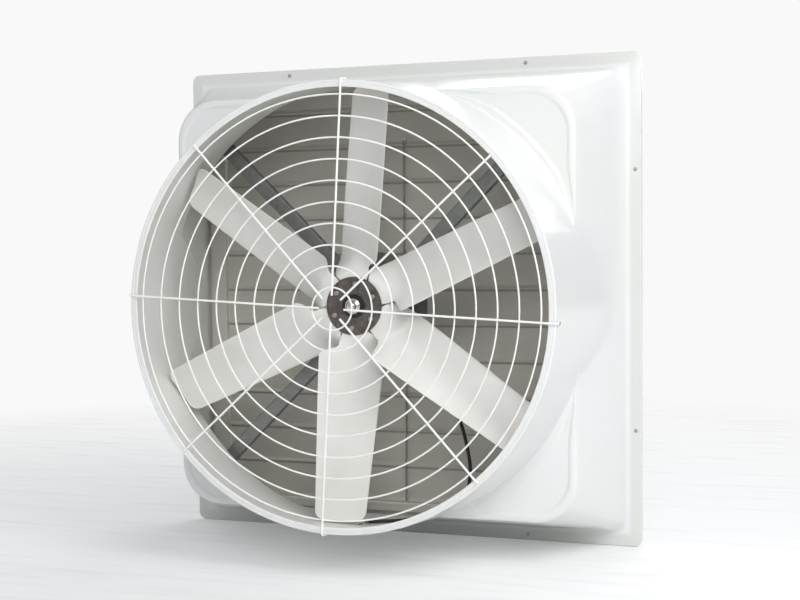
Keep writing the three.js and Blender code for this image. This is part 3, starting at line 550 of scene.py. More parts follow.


# A painted shadow darkens each joint, just under the hem of the louvre above, which shades it.
shadow_line_below_hinge = 9
tree = finishes["louvre_aluminium"].node_tree
shader = tree.nodes["Principled BSDF"]
clean = shader.inputs["Base Color"].links[0].from_socket
where = add(tree, "ShaderNodeTexCoord").outputs["Object"]
height = add(tree, "ShaderNodeSeparateXYZ", {0: where}).outputs["Z"]
painted_shadow_line = centre_height + (lowest_hinge - shadow_line_below_hinge) * MM
above = add(tree, "ShaderNodeMath", {0: height, 1: painted_shadow_line}, operation="SUBTRACT").outputs[0]
near = add(tree, "ShaderNodeMath", {0: above, 1: louvre_pitch * MM / 2}, operation="PINGPONG").outputs[0]
# Near each joint the aluminium's colour is mixed towards a dark grey: a painted shadow.
shadowed_colour = blended(tree, near, 4.5 * MM, 0.5 * MM, clean, colour("#6b6862"), 0.55)
tree.links.new(shadowed_colour, shader.inputs["Base Color"])


def louvre_outline(last):
    """Barrel, face and hem as (ahead, up) from the hinge. `last` is the share of the drop reached."""
    turns = [math.radians(-165 + 330 * i / 16) for i in range(17)]
    roll = [(barrel * math.sin(t), barrel * math.cos(t)) for t in turns]
    shares = [0.05 + (last - 0.05) * i / 30 for i in range(31)]
    middles = [
        (lean * s + bulge * math.sin(math.pi * s) + hem_flare * smooth_step(s, 0.9, 0.97), -drop * s)
        for s in shares
    ]
    ahead_side = [(a + half_sheet, z) for a, z in middles]
    back_side = [(a - half_sheet, z) for a, z in reversed(middles)]
    hem = []
    if last > 0.94:
        edge = lean + hem_flare
        hem = [
            (edge + 1.3, -drop * 0.965),
            (edge + 1.5, -drop + 0.8),
            (edge + 0.8, -drop),
            (edge - half_sheet, -drop),
        ]
    return roll + ahead_side + hem + back_side


def along_x(outline, stations, up):
    """An outline of (ahead, up) run along x through stations."""
    return capped([[place(x, a, up + z) for a, z in outline] for x in stations])


def rod_x(radius, from_x, to_x, ahead, up):
    """A round pin along x, with a small chamfer at each end."""
    chamfer = 0.4
    stations = [
        (from_x, radius - chamfer),
        (from_x + chamfer, radius),
        (to_x - chamfer, radius),
        (to_x, radius - chamfer),
    ]
    turns = [math.tau * i / 16 for i in range(16)]
    rows = []
    for x, r in stations:
        rows.append([place(x, ahead + r * math.cos(t), up + r * math.sin(t)) for t in turns])
    return capped(rows)


full, short = louvre_outline(0.95), louvre_outline(0.82)
face_end = opening_half - 2.5
ear = [
    (ear_root, ear_height - rod_pin_drop),
    (ear_root, -rod_pin_drop - ear_radius),
    (rod_pin_ahead, -rod_pin_drop - ear_radius),
]
for i in range(1, 9):
    turn = math.pi * i / 8
    ahead = rod_pin_ahead + ear_radius * math.sin(turn)
    ear.append((ahead, -rod_pin_drop - ear_radius * math.cos(turn)))
for k in range(louvre_count):
    up = lowest_hinge + louvre_pitch * k
    name = f"louvre_{k + 1:02d}"
    shells = [
        along_x(full, (-face_end, -slit_half), up),
        along_x(short, (-slit_half, slit_half), up),
        along_x(full, (slit_half, face_end), up),
        along_x(ear, (slit_half, slit_half + 3), up),
        rod_x(rod_pin_radius, -3.5, slit_half + 1, rod_pin_ahead, up - rod_pin_drop),
        rod_x(hinge_pin_radius, face_end - 20, opening_half + hinge_pin_past, 0, up),
        rod_x(hinge_pin_radius, -opening_half - hinge_pin_past, 20 - face_end, 0, up),
    ]
    mesh = make_mesh(f"{name}_sheet", shells, "louvre_aluminium")
    finish_piece(mesh, name, [name])

# %% [markdown]
# **The louvres' frame** is folded from the same sheet. Its section is a shallow channel with a lip
# outside, that lies in the flange's rebate, and a narrow stop inside. The louvres close against the
# stop, which covers the gaps round them. The section is mitred at the four corners.

# %% Louvre frame
frame_front = 18
frame_sheet = 2
frame_back = rebate_floor + 0.3
inner_back = 10
stop_thickness = 1.5
stop_width = 10
# How far each line of the section is from the centre: at the sides, at the top and at the bottom.
reaches = {
    "inner": (opening_half, 603, 638),
    "outer": (663, 663, 663),
    "lip": (rebate_half - 2, rebate_half - 2, rebate_half - 2),
}
# Each corner of the section: the line it follows, how far outside that line, ahead, and its radius.
frame_section = [
    ("inner", 0, stop_thickness - inner_back, 0),
    ("inner", 0, frame_front, 3),
    ("outer", 0, frame_front, 3),
    ("outer", 0, -frame_back, 0.8),
    ("lip", 0, -frame_back, 0),
    ("lip", 0, -frame_back - frame_sheet, 0),
    ("outer", -frame_sheet, -frame_back - frame_sheet, 2.5),
    ("outer", -frame_sheet, frame_front - frame_sheet, 1),
    ("inner", frame_sheet, frame_front - frame_sheet, 1),
    ("inner", frame_sheet, -inner_back, 2),
    ("inner", -stop_width, -inner_back, 0),
    ("inner", -stop_width, stop_thickness - inner_back, 0),
]
frame_rows = []
for side, up in ((1, 1), (-1, 1), (-1, -1), (1, -1)):
    corner_points = []
    for line in (0, 1 if up > 0 else 2):
        path = [(reaches[follows][line] + out, ahead) for follows, out, ahead, _ in frame_section]
        corner_points.append(rounded(path, [radius for *_, radius in frame_section]))
    frame_rows.append(
        [place(side * across.x, across.y, up * height.x) for across, height in zip(*corner_points)]
    )
shutter = make_mesh("louvre_frame", [skin(frame_rows)], "frame_aluminium", 25)
finish_piece(shutter, "fan_body", ["shutter_frame"])

# %% [markdown]
# **The blades** are moulded, so they are thick along the middle and thin at the edges. From the hub
# each leaves as a flat tongue, swells to its full width, and twists to a pitch that falls off towards
# the tip, where the air moves past it faster. One formula gives a point for a radius and a share of
# the width, and a grid of such points gives the blade.

# %% Blade shape
blade_count = 6
blade_turn = math.radians(4.97)
blade_thickness = 4
tongue_radius = 46
tongue_half = 22
neck_radius = 105
full_radius = 165
full_half = 78
tip_radius = 610
tip_half = 64.5
tip_corner = 22
root_pitch = 37
tip_pitch = 25.7
blade_middle_ahead = 444
bow = 9
hub_radius = 82
hub_front = 457
hub_plate = 4
tongue_ahead = hub_front - hub_plate - 0.3 - blade_thickness / 2


def blade_point(radius, share, face, turn):
    """One point of a blade. Share runs from -1 at the leading edge to +1 at the trailing edge."""
    along = max(0.0, (radius - full_radius) / (tip_radius - full_radius))
    widest = full_half + (tip_half - full_half) * along
    trailing = tongue_half + (widest - tongue_half) * smooth_step(radius, neck_radius, 157)
    leading = tongue_half + (widest - tongue_half) * smooth_step(radius, tongue_radius, 120)
    grow = max(0.0, min(radius, neck_radius) - tongue_radius) * 0.25
    into_tip = max(0.0, radius - tip_radius + tip_corner)
    rounding = tip_corner - math.sqrt(max(0.0, tip_corner**2 - into_tip**2))
    half = max(trailing if share > 0 else leading, tongue_half + grow) - rounding
    twist = smooth_step(radius, hub_radius + 2, 160)
    pitch = math.radians(root_pitch + (tip_pitch - root_pitch) * along) * twist
    thinning = math.sqrt(max(0.02, 1 - 0.95 * abs(share) ** 14))
    ahead = tongue_ahead + (blade_middle_ahead - tongue_ahead) * twist
    ahead += share * half * math.tan(pitch) - bow * twist * (1 - share**2)
    ahead += face * thinning * blade_thickness / 2 / math.cos(pitch)
    return around(math.pi / 2 - share * half / radius - turn, radius, ahead)


tip_start = tip_radius - tip_corner
radii = [tongue_radius + (tip_start - tongue_radius) * i / 60 for i in range(61)]
radii += [tip_start + (tip_corner - 0.1) * math.sin(math.pi / 2 * i / 8) for i in range(1, 9)]
shares = [math.sin(math.pi / 2 * (1 - i / 16)) for i in range(33)]
for i in range(blade_count):
    turn = blade_turn + math.tau * i / blade_count
    rows = [
        [blade_point(r, s, 1, turn) for s in shares]
        + [blade_point(r, s, -1, turn) for s in reversed(shares)]
        for r in radii
    ]
    mesh = make_mesh(f"blade_{i + 1}_moulding", [capped(rows)], "blade_nylon", 50)
    finish_piece(mesh, "impeller", [f"fan_blade_{i + 1}"])

# %% [markdown]
# **The hub** is a pair of steel plates that pinch the blade tongues, sprayed dark and glossy. On its
# front sit a black ring and a bright domed cap over the shaft's end. All three are turned shapes, so
# each is an outline swept round the shaft, with the small radii that catch the light.

# %% Hub plate, ring and cap
shaft_bore = 12.3
piece_gap = 0.3
ring_radius = 33
ring_start = hub_front + piece_gap
ring_end = ring_start + 3
ring_outline = rounded(
    [(shaft_bore, ring_start), (ring_radius, ring_start), (ring_radius, ring_end), (shaft_bore, ring_end)],
    [0, 0, 1.2, 0],
)
cap_start = ring_end + piece_gap
cap_corners = [
    (0, cap_start),
    (22.5, cap_start),
    (22.5, cap_start + 7),
    (18, cap_start + 10.5),
    (14, cap_start + 12.5),
    (13.6, cap_start + 20.5),
    (9.5, cap_start + 25.8),
    (0, cap_start + 27),
]
cap_outline = rounded(cap_corners, [0, 1, 2.4, 3, 2, 5, 6, 0], 6)
plate_back = hub_front - hub_plate
rim_outline = rounded(
    [
        (shaft_bore, plate_back),
        (hub_radius, plate_back),
        (hub_radius, hub_front),
        (hub_radius - 3, hub_front),
    ],
    [0, 1, 1.8, 0],
)
face_radii = (78, 75, 73, 71, 69, 66, 60, 54, 48, 46, 44, 42, 40, 36)
pocket_inner = 40
pocket_outer = 75
pocket_slope = 6
pocket_depth = 2.4


def hub_plate_rows():
    """The plate's outline round the shaft, with a pocket pressed in between each pair of blades."""
    rows = []
    for i in range(180):
        angle = math.tau * i / 180
        from_blade = (angle - math.pi / 2 + blade_turn) * blade_count
        depth = pocket_depth * smooth_step(-math.cos(from_blade), 0.05, 0.75)
        face = []
        for radius in face_radii:
            inside = smooth_step(radius, pocket_inner, pocket_inner + pocket_slope)
            outside = 1 - smooth_step(radius, pocket_outer - pocket_slope, pocket_outer)
            face.append((radius, hub_front - depth * inside * outside))
        rows.append([around(angle, r, a) for r, a in rim_outline + face + [(shaft_bore, hub_front)]])
    return rows


hub_mesh = make_mesh("hub_plate_front", [skin(hub_plate_rows())], "dark_hub_paint")
finish_piece(hub_mesh, "impeller", ["hub_front_plate"])
turned_pieces = [
    ("hub_ring", ring_outline, "black_plastic", "hub_washer"),
    ("shaft_dome", cap_outline, "bright_steel", "shaft_cap"),
]
for name, outline, finish_name, node in turned_pieces:
    mesh = make_mesh(name, [turned(outline)], finish_name)
    finish_piece(mesh, "impeller", [node])

# %% [markdown]
# **The struts** are channels folded from galvanised sheet, open to the back. Folding sheet always
# leaves a bend radius, so the section has its corners rounded before it is run out along a diagonal.

# %% Struts
strut_front = 307
strut_depth = 25
strut_half = 20
sheet = 3
strut_back = strut_front - strut_depth
strut_section = rounded(
    [
        (-strut_half, strut_back),
        (sheet - strut_half, strut_back),
        (sheet - strut_half, strut_front - sheet),
        (strut_half - sheet, strut_front - sheet),
        (strut_half - sheet, strut_back),
        (strut_half, strut_back),
        (strut_half, strut_front),
        (-strut_half, strut_front),
    ],
    [0.5, 0.5, 1, 1, 0.5, 0.5, 4, 4],
    5,
)
strut_inner = 101
strut_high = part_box("strut_upper_right")[1]
strut_outer = ((strut_high.x - centre.x) / MM - strut_half / math.sqrt(2)) * math.sqrt(2)
for quarter_turn, name in enumerate(["upper_right", "upper_left", "lower_left", "lower_right"]):
    direction = math.radians(45 + 90 * quarter_turn)
    rows = []
    for reach in (strut_inner, strut_outer):
        middle = (reach * math.cos(direction), reach * math.sin(direction))
        rows.append(
            [
                place(middle[0] - s * math.sin(direction), a, middle[1] + s * math.cos(direction))
                for s, a in strut_section
            ]
        )
    mesh = make_mesh(f"strut_channel_{name}", [capped(rows)], "galvanised_steel", 25)
    finish_piece(mesh, "fan_body", [f"strut_{name}"])

# %% [markdown]
# Geometry nodes make what repeats. A tree is built once with named inputs for its sizes, it runs on
# a small mesh that carries the places, and its result is turned into a plain mesh.

# %% Run a geometry tree
def start_tree(name, sizes):
    """A geometry tree with its named number inputs, its group input and its output."""
    tree = bpy.data.node_groups.new(name, "GeometryNodeTree")
    tree.interface.new_socket(name="Geometry", in_out="INPUT", socket_type="NodeSocketGeometry")
    for label in sizes:
        tree.interface.new_socket(name=label, in_out="INPUT", socket_type="NodeSocketFloat")
    tree.interface.new_socket(name="Geometry", in_out="OUTPUT", socket_type="NodeSocketGeometry")
    return tree, add(tree, "NodeGroupInput").outputs, add(tree, "NodeGroupOutput")


def end_tree(tree, result, geometry, finish_name):
    """Ends a tree as the export needs it: instances made real, then the material set."""
    real = add(tree, "GeometryNodeRealizeInstances", {"Geometry": geometry})
    coat = add(tree, "GeometryNodeSetMaterial", {"Geometry": real.outputs[0]})
    coat.inputs["Material"].default_value = finishes[finish_name]
    tree.links.new(coat.outputs[0], result.inputs[0])


def run_tree(name, tree, carrier_mesh, sizes, sharp_degrees=35):
    """Runs a tree on a mesh and returns the plain mesh that comes out."""
    carrier = put_in_scene(name, carrier_mesh)
    modifier = carrier.modifiers.new(name, "NODES")
    modifier.node_group = tree
    sockets = {s.name: s.identifier for s in tree.interface.items_tree if s.in_out == "INPUT"}
    for label, value in sizes.items():
        modifier[sockets[label]] = float(value)
    evaluated = carrier.evaluated_get(bpy.context.evaluated_depsgraph_get())
    mesh = bpy.data.meshes.new_from_object(evaluated)
    mesh.name = name
    bpy.data.objects.remove(carrier)
    for attribute in [a.name for a in mesh.attributes if a.name == "facing"]:
        mesh.attributes.remove(mesh.attributes[attribute])
    mesh.shade_smooth()
    mesh.set_sharp_from_angle(angle=math.radians(sharp_degrees))
    return mesh


print("tree helpers ready")

# %% [markdown]
# **The guard** is round wire: rings one pitch apart behind eight spokes, spot-welded at every
# crossing. Every second spoke runs past the rim, bends back along the cone and ends in a loop that a
# screw holds. The tree sweeps a circle along rings and spokes, and drops a small bead on each weld.

# %% Guard sizes and tree
hook_gap = 2.3
guard_sizes = {
    "Ring pitch": 57 * MM,
    "Ring wire": 2.4 * MM,
    "Spoke wire": 3 * MM,
    "Ring ahead": 620.7 * MM,
    "Spoke ahead": 625.8 * MM,
    "Spoke start": 36 * MM,
    "Plain spoke end": (mouth_radius - rim_width / 3) * MM,
    "Hook reach": (cone_radius(598.5) + hook_gap) * MM,
    "Hook end": 613 * MM,
    "Loop ahead": 606.5 * MM,
    "Loop radius": 5.2 * MM,
    "Turn": math.radians(3.2),
}
ring_count = 10
spoke_count = 8
tree, given, result = start_tree("guard", guard_sizes)


def wire(curve, radius):
    """A curve swept by a round wire, with closed ends."""
    section = add(tree, "GeometryNodeCurvePrimitiveCircle", {"Radius": radius, "Resolution": 10}).outputs[0]
    swept = add(
        tree, "GeometryNodeCurveToMesh", {"Curve": curve, "Profile Curve": section, "Fill Caps": True}
    )
    return swept.outputs[0]


def repeated(geometry, count, step, first):
    """Copies turned round the shaft's axis, made real."""
    points = add(tree, "GeometryNodePoints", {"Count": count}).outputs[0]
    index = add(tree, "GeometryNodeInputIndex").outputs[0]
    steps = add(tree, "ShaderNodeMath", {0: index, 1: step}, operation="MULTIPLY").outputs[0]
    turn = add(tree, "ShaderNodeMath", {0: steps, 1: first}, operation="ADD").outputs[0]
    rotation = add(tree, "ShaderNodeCombineXYZ", {"Y": turn}).outputs[0]
    placed = add(
        tree,
        "GeometryNodeInstanceOnPoints",
        {"Points": points, "Instance": geometry, "Rotation": rotation},
    )
    return add(tree, "GeometryNodeRealizeInstances", {"Geometry": placed.outputs[0]}).outputs[0]


# Ahead is -y, so each distance ahead is turned into a y first.
to_y = [given["Ring ahead"], given["Spoke ahead"], given["Loop ahead"]]
ring_y, spoke_y, loop_y = [
    add(tree, "ShaderNodeMath", {0: ahead, 1: -1.0}, operation="MULTIPLY").outputs[0] for ahead in to_y
]
unit_ring = add(tree, "GeometryNodeCurvePrimitiveCircle", {"Radius": 1.0, "Resolution": 128}).outputs[0]
upright = add(
    tree, "GeometryNodeTransform", {"Geometry": unit_ring, "Rotation": (math.pi / 2, 0, 0)}
).outputs[0]
ring_place = add(tree, "ShaderNodeCombineXYZ", {"Y": ring_y}).outputs[0]
ring_points = add(tree, "GeometryNodePoints", {"Count": ring_count, "Position": ring_place}).outputs[0]
index = add(tree, "GeometryNodeInputIndex").outputs[0]
ring_number = add(tree, "ShaderNodeMath", {0: index, 1: 1.0}, operation="ADD").outputs[0]
pitch = given["Ring pitch"]
ring_size = add(tree, "ShaderNodeMath", {0: ring_number, 1: pitch}, operation="MULTIPLY").outputs[0]
ring_scale = add(tree, "ShaderNodeCombineXYZ", {"X": ring_size, "Y": ring_size, "Z": ring_size}).outputs[0]
rings = add(
    tree,
    "GeometryNodeInstanceOnPoints",
    {"Points": ring_points, "Instance": upright, "Scale": ring_scale},
)
rings = add(tree, "GeometryNodeRealizeInstances", {"Geometry": rings.outputs[0]}).outputs[0]

# The carrier mesh is the hooked spoke's three corners. Its bend is rounded before it is repeated.
hook = add(tree, "GeometryNodeMeshToCurve", {"Mesh": given["Geometry"]}).outputs[0]
bend = add(tree, "GeometryNodeFilletCurve", {"Curve": hook, "Radius": 7 * MM}, mode="POLY")
bend.inputs["Count"].default_value = 6
loop_radius = given["Loop radius"]
loop_turns = add(tree, "GeometryNodeCurvePrimitiveCircle", {"Radius": loop_radius, "Resolution": 24})
loop_place = add(tree, "ShaderNodeCombineXYZ", {"Y": loop_y, "Z": given["Hook reach"]}).outputs[0]
loop = add(tree, "GeometryNodeTransform", {"Geometry": loop_turns.outputs[0], "Translation": loop_place})
hooked = add(tree, "GeometryNodeJoinGeometry")
for curve in (bend.outputs[0], loop.outputs[0]):
    tree.links.new(curve, hooked.inputs[0])
plain_start = add(tree, "ShaderNodeCombineXYZ", {"Y": spoke_y, "Z": given["Spoke start"]}).outputs[0]
plain_end = add(tree, "ShaderNodeCombineXYZ", {"Y": spoke_y, "Z": given["Plain spoke end"]}).outputs[0]
plain = add(tree, "GeometryNodeCurvePrimitiveLine", {"Start": plain_start, "End": plain_end}).outputs[0]
step = math.tau / spoke_count
between = add(tree, "ShaderNodeMath", {0: given["Turn"], 1: step}, operation="ADD").outputs[0]
hooked_spokes = repeated(hooked.outputs[0], spoke_count // 2, 2 * step, given["Turn"])
plain_spokes = repeated(plain, spoke_count // 2, 2 * step, between)

# A bead of weld on each crossing: a row of points along one spoke, turned to every spoke.
both_y = add(tree, "ShaderNodeMath", {0: ring_y, 1: spoke_y}, operation="ADD").outputs[0]
weld_y = add(tree, "ShaderNodeMath", {0: both_y, 1: 0.5}, operation="MULTIPLY").outputs[0]
weld_start = add(tree, "ShaderNodeCombineXYZ", {"Y": weld_y, "Z": pitch}).outputs[0]
weld_step = add(tree, "ShaderNodeCombineXYZ", {"Z": pitch}).outputs[0]
weld_row = add(
    tree,
    "GeometryNodeMeshLine",
    {"Count": ring_count, "Start Location": weld_start, "Offset": weld_step},
).outputs[0]
weld_points = repeated(weld_row, spoke_count, step, given["Turn"])
bead = add(tree, "GeometryNodeMeshUVSphere", {"Segments": 10, "Rings": 6, "Radius": 4 * MM}).outputs[0]
welds = add(
    tree,
    "GeometryNodeInstanceOnPoints",
    {"Points": weld_points, "Instance": bead, "Scale": (1.0, 0.75, 1.0)},
).outputs[0]

whole = add(tree, "GeometryNodeJoinGeometry")
for geometry in (
    wire(rings, given["Ring wire"]),
    wire(hooked_spokes, given["Spoke wire"]),
    wire(plain_spokes, given["Spoke wire"]),
    welds,
):
    tree.links.new(geometry, whole.inputs[0])
moved = add(tree, "GeometryNodeTransform", {"Geometry": whole.outputs[0], "Translation": tuple(centre)})
end_tree(tree, result, moved.outputs[0], "coated_wire")

# %% Run the guard's tree
reach = guard_sizes["Hook reach"]
hook_corners = [
    (0, -guard_sizes["Spoke ahead"], guard_sizes["Spoke start"]),
    (0, -guard_sizes["Spoke ahead"], reach),
    (0, -guard_sizes["Hook end"], reach),
]
carrier = bpy.data.meshes.new("hooked_spoke")
carrier.from_pydata(hook_corners, [(0, 1), (1, 2)], [])
guard_mesh = run_tree("guard_wire", tree, carrier, guard_sizes)
finish_piece(guard_mesh, "fan_body", ["outlet_guard"])

# %% [markdown]
# **Screws and bolts** sit on points that carry the way they face, and a tree puts a copy of a head on
# each point. The flange's pan-head screws have a washer under them, the guard's have none, and the hub
# has hexagonal bolt heads. A screw's driver recess and a bolt's chamfer make them read as fasteners.

# %% Fastener heads
def head_shell(outline, steps=24):
    """A head turned round z from an outline of (radius, height). With six steps it is a hexagon."""
    rows = []
    for i in range(steps):
        across, up = math.cos(math.tau * i / steps) * MM, math.sin(math.tau * i / steps) * MM
        rows.append([(r * across, r * up, h * MM) for r, h in outline])
    return skin(rows)


def fastener_tree(name, head):
    """A tree that puts a copy of a head on each point, facing the way the point says."""
    tree, given, result = start_tree(name, ["Size"])
    facing = add(tree, "GeometryNodeInputNamedAttribute", {"Name": "facing"}, data_type="FLOAT_VECTOR")
    aligned = add(tree, "FunctionNodeAlignRotationToVector", {"Vector": facing.outputs[0]}, axis="Z")
    source = add(tree, "GeometryNodeObjectInfo", {"Object": head}).outputs["Geometry"]
    size = given["Size"]
    scale = add(tree, "ShaderNodeCombineXYZ", {"X": size, "Y": size, "Z": size}).outputs[0]
    heads = add(
        tree,
        "GeometryNodeInstanceOnPoints",
        {"Points": given["Geometry"], "Instance": source, "Rotation": aligned.outputs[0], "Scale": scale},
    )
    end_tree(tree, result, heads.outputs[0], "zinc_fastener")
    return tree


def points_facing(name, places, directions):
    """A mesh of loose points that carry a direction."""
    mesh = bpy.data.meshes.new(name)
    mesh.from_pydata([tuple(p) for p in places], [], [])
    facing = mesh.attributes.new("facing", "FLOAT_VECTOR", "POINT")
    for i, direction in enumerate(directions):
        facing.data[i].vector = tuple(direction)
    return mesh


pan_dome = [(0.01, 0), (5.5, 0), (5.5, 0.6), (5.2, 1.5), (4.2, 2.4), (2.6, 2.9)]
pan_recess = [(2.2, 2.9), (1.6, 1.4), (0.01, 1.2)]
pan_head = pan_dome + pan_recess
washer_ring = [(2.8, 0), (8, 0), (8, 0.7), (7.6, 1), (2.8, 1)]
hex_head = [(0.01, 0), (7.2, 0), (7.2, 4.6), (6.4, 5.3), (0.01, 5.3)]
print("fastener outlines ready")

# %% Flange screws, guard screws and hub bolts
def source_head(name, shells):
    """A head as an object for a tree to copy. It is taken away once the copies are plain mesh."""
    return put_in_scene(name, make_mesh(name, shells, "zinc_fastener", 25))


pan = source_head("pan_head", [head_shell(pan_head)])
washer_height = 1
raised_pan = [(r, h + washer_height) for r, h in pan_head]
flange_pan = source_head("pan_head_on_washer", [head_shell(raised_pan), head_shell(washer_ring)])
bolt = source_head("hex_head", [head_shell(hex_head, 6)])

screw_line = 712
screw_offset = 385
flange_points = []
for side in (-1, 1):
    for offset in (-screw_offset, screw_offset):
        flange_points.append(place(side * screw_line, 0, offset))
        flange_points.append(place(offset, 0, side * screw_line))
carrier = points_facing("flange_points", flange_points, [(0, -1, 0)] * len(flange_points))
mesh = run_tree("flange_screws", fastener_tree("flange_screws", flange_pan), carrier, {"Size": 0.7})
finish_piece(mesh, "fan_body")

guard_points = []
outwards = []
for i in range(4):
    angle = math.pi / 2 - guard_sizes["Turn"] - math.pi / 2 * i
    reach = guard_sizes["Hook reach"] / MM + hook_gap
    guard_points.append(around(angle, reach, guard_sizes["Loop ahead"] / MM))
    outwards.append((math.cos(angle), 0, math.sin(angle)))
carrier = points_facing("guard_points", guard_points, outwards)
mesh = run_tree("guard_screw_heads", fastener_tree("guard_screws", pan), carrier, {"Size": 1})
finish_piece(mesh, "fan_body", [f"guard_screw_{i + 1}" for i in range(4)])

bolt_circle = 62
bolt_points = [
    around(math.pi / 2 - blade_turn - math.tau * i / blade_count, bolt_circle, hub_front + piece_gap)
    for i in range(blade_count)
]
carrier = points_facing("bolt_points", bolt_points, [(0, -1, 0)] * blade_count)
mesh = run_tree("hub_bolt_heads", fastener_tree("hub_bolts", bolt), carrier, {"Size": 1})
finish_piece(mesh, "impeller", [f"hub_bolt_{i + 1}" for i in range(blade_count)])
for head in (pan, flange_pan, bolt):
    bpy.data.objects.remove(head)

# %% [markdown]
# ** The motor's lead** is a 10 mm rubber cable. It leaves the gland under the terminal box, runs down
# along a strut where a tie holds it, and lies loose on the floor of the outlet, where its jacket has
# been stripped back to three coloured cores. A curve through listed points is its centreline.

# %% Lead
lead_diameter = 10
core_diameter = 3
lead_route = [
    (114, 244.4, -64.6), (114, 244, -90), (115, 246, -116), (119, 250, -142),
    (128, 258, -168), (145, 271, -193), (170, 286, -216), (199, 294, -239),
    (224, 297, -265), (242, 300, -292), (257, 304, -322), (270, 308, -354),
    (280, 311, -389), (288, 313, -424), (293, 315, -460), (292, 317, -496),
    (285, 319, -529), (269, 322, -556), (243, 325, -577), (208, 328, -592),
    (165, 330, -605), (120, 333, -615), (80, 338, -621), (45, 348, -622.5),
    (20, 362, -622.5), (8, 380, -621),
]


def round_line(name, route, diameter, finish_name):
    """A round wire through points, as a curve with closed ends."""
    curve = bpy.data.curves.new(name, "CURVE")
    curve.dimensions = "3D"
    curve.bevel_depth = diameter / 2 * MM
    curve.bevel_resolution = 4
    curve.use_fill_caps = True
    curve.resolution_u = 8
    spline = curve.splines.new("BEZIER")
    spline.bezier_points.add(len(route) - 1)
    for point, (x, ahead, up) in zip(spline.bezier_points, route):
        point.co = place(x, ahead, up)
        point.handle_left_type = "AUTO"
        point.handle_right_type = "AUTO"
    curve.materials.append(finishes[finish_name])
    line = put_in_scene(name, curve)
    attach(line, "fan_body")
    return line, spline.calc_length()


lead, lead_length = round_line("motor_lead", lead_route, lead_diameter, "cable_rubber")
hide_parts("motor_cable")
print("lead length", round(lead_length, 3), "m")

# %% Stripped end
core_routes = {
    "brown_core": [(9, 379, -619.2), (2, 387, -618), (-6, 397, -614), (-16, 406, -612)],
    "blue_core": [(6.5, 378, -622.5), (0, 388, -621.5), (-5, 400, -622), (-8, 413, -622.5)],
    "earth_core": [(10, 382, -622.5), (6, 391, -622.5), (3, 402, -619), (6, 414, -617)],
}
for name, route in core_routes.items():
    core, _ = round_line(name, route, core_diameter, name)

# %% [markdown]
# The floor and the backdrop are pale and plain. What the camera sees of them is lifted towards white
# in their own material, so the light on the fan can stay at a level that shows its true colours.

# %% Floor
backdrop_white = colour("#f9f9f9")
floor_material, tree, shader, where = start_material("pale_floor", Roughness=0.7)
run = add(tree, "ShaderNodeMapping", {"Vector": where, "Scale": (0.35, 4.0, 1.0)})
streaks = add(tree, "ShaderNodeTexNoise", {"Vector": run.outputs[0], "Scale": 5.0, "Detail": 8.0})
pale = blended(tree, streaks.outputs["Fac"], 0.5, 0.75, colour("#fafafa"), colour("#f0f0f1"))
tree.links.new(pale, shader.inputs["Base Color"])
path = add(tree, "ShaderNodeLightPath")
seen = add(
    tree,
    "ShaderNodeMath",
    {0: path.outputs["Is Camera Ray"], 1: path.outputs["Is Glossy Ray"]},
    operation="MAXIMUM",
)
# Near the fan the floor keeps its shadow. Further out it fades to the white of the backdrop.
distance = add(tree, "ShaderNodeVectorMath", {0: where}, operation="LENGTH").outputs["Value"]
far_share = add(
    tree,
    "ShaderNodeMapRange",
    {"Value": distance, "From Min": 0.9, "From Max": 4.2, "To Min": 0.2, "To Max": 1.0},
)
far_colour = blended(tree, distance, 3.4, 4.2, pale, backdrop_white)
seen_and_far = {0: seen.outputs[0], 1: far_share.outputs["Result"]}
lift = add(tree, "ShaderNodeMath", seen_and_far, operation="MULTIPLY")
glow = add(tree, "ShaderNodeEmission", {"Color": far_colour, "Strength": 1.0})
mixed = add(tree, "ShaderNodeMixShader", {0: lift.outputs[0], 1: shader.outputs[0], 2: glow.outputs[0]})
tree.links.new(mixed.outputs[0], tree.nodes["Material Output"].inputs["Surface"])

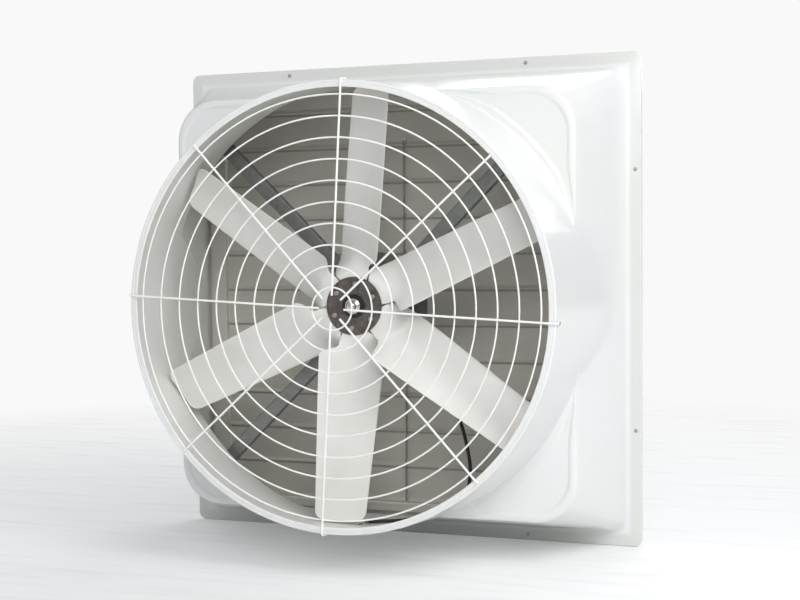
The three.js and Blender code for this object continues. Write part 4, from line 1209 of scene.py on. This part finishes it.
floor_mesh = bpy.data.meshes.new("floor")
floor_half = 14.0
floor_up = -1 * MM
corner_signs = ((-1, -1), (1, -1), (1, 1), (-1, 1))
floor_corners = [(across * floor_half, deep * floor_half, floor_up) for across, deep in corner_signs]
floor_mesh.from_pydata(floor_corners, [], [(0, 1, 2, 3)])
floor_mesh.materials.append(floor_material)
put_in_scene("floor", floor_mesh)

# %% [markdown]
# A wide soft lamp high on the right is the main light. One in front fills the outlet, a weak one on
# the left keeps the shaded sides readable, and one behind gives the floor its shadow and lights the
# back. The world adds a plain even grey, and the camera sees it as white.

# %% Lights and world
def soft_lamp(name, watts, size, stand, target):
    """A square area lamp that points at a target."""
    data = bpy.data.lights.new(name, "AREA")
    data.energy = watts
    data.size = size
    lamp = put_in_scene(name, data)
    lamp.location = stand
    lamp.rotation_euler = (Vector(target) - Vector(stand)).to_track_quat("-Z", "Y").to_euler()


middle = (0, 0, centre_height)
soft_lamp("key", 105, 2.6, (3.1, -2.0, 3.4), middle)
soft_lamp("front", 70, 2.0, (1.7, -4.4, 2.6), middle)
soft_lamp("fill", 8, 3.0, (-3.6, -3.0, 2.2), middle)
soft_lamp("back", 50, 3.0, (0.5, 3.2, 3.0), middle)

world = bpy.data.worlds.new("even_grey")
bpy.context.scene.world = world
world.use_nodes = True
tree = world.node_tree
even = tree.nodes["Background"]
even.inputs["Color"].default_value = colour("#f1f4f8")
even.inputs["Strength"].default_value = 0.5
white = add(tree, "ShaderNodeBackground", {"Color": backdrop_white, "Strength": 1.0})
path = add(tree, "ShaderNodeLightPath")
seen = add(
    tree,
    "ShaderNodeMath",
    {0: path.outputs["Is Camera Ray"], 1: path.outputs["Is Transmission Ray"]},
    operation="MAXIMUM",
)
both = add(tree, "ShaderNodeMixShader", {0: seen.outputs[0], 1: even.outputs[0], 2: white.outputs[0]})
tree.links.new(both.outputs[0], tree.nodes["World Output"].inputs["Surface"])
bpy.context.scene.view_settings.view_transform = "Standard"

# %% [markdown]
# Last, the imported model's box is printed once more.

# %% Print the model's box
print("model box ", [round(v, 4) for v in cad_high - cad_low])
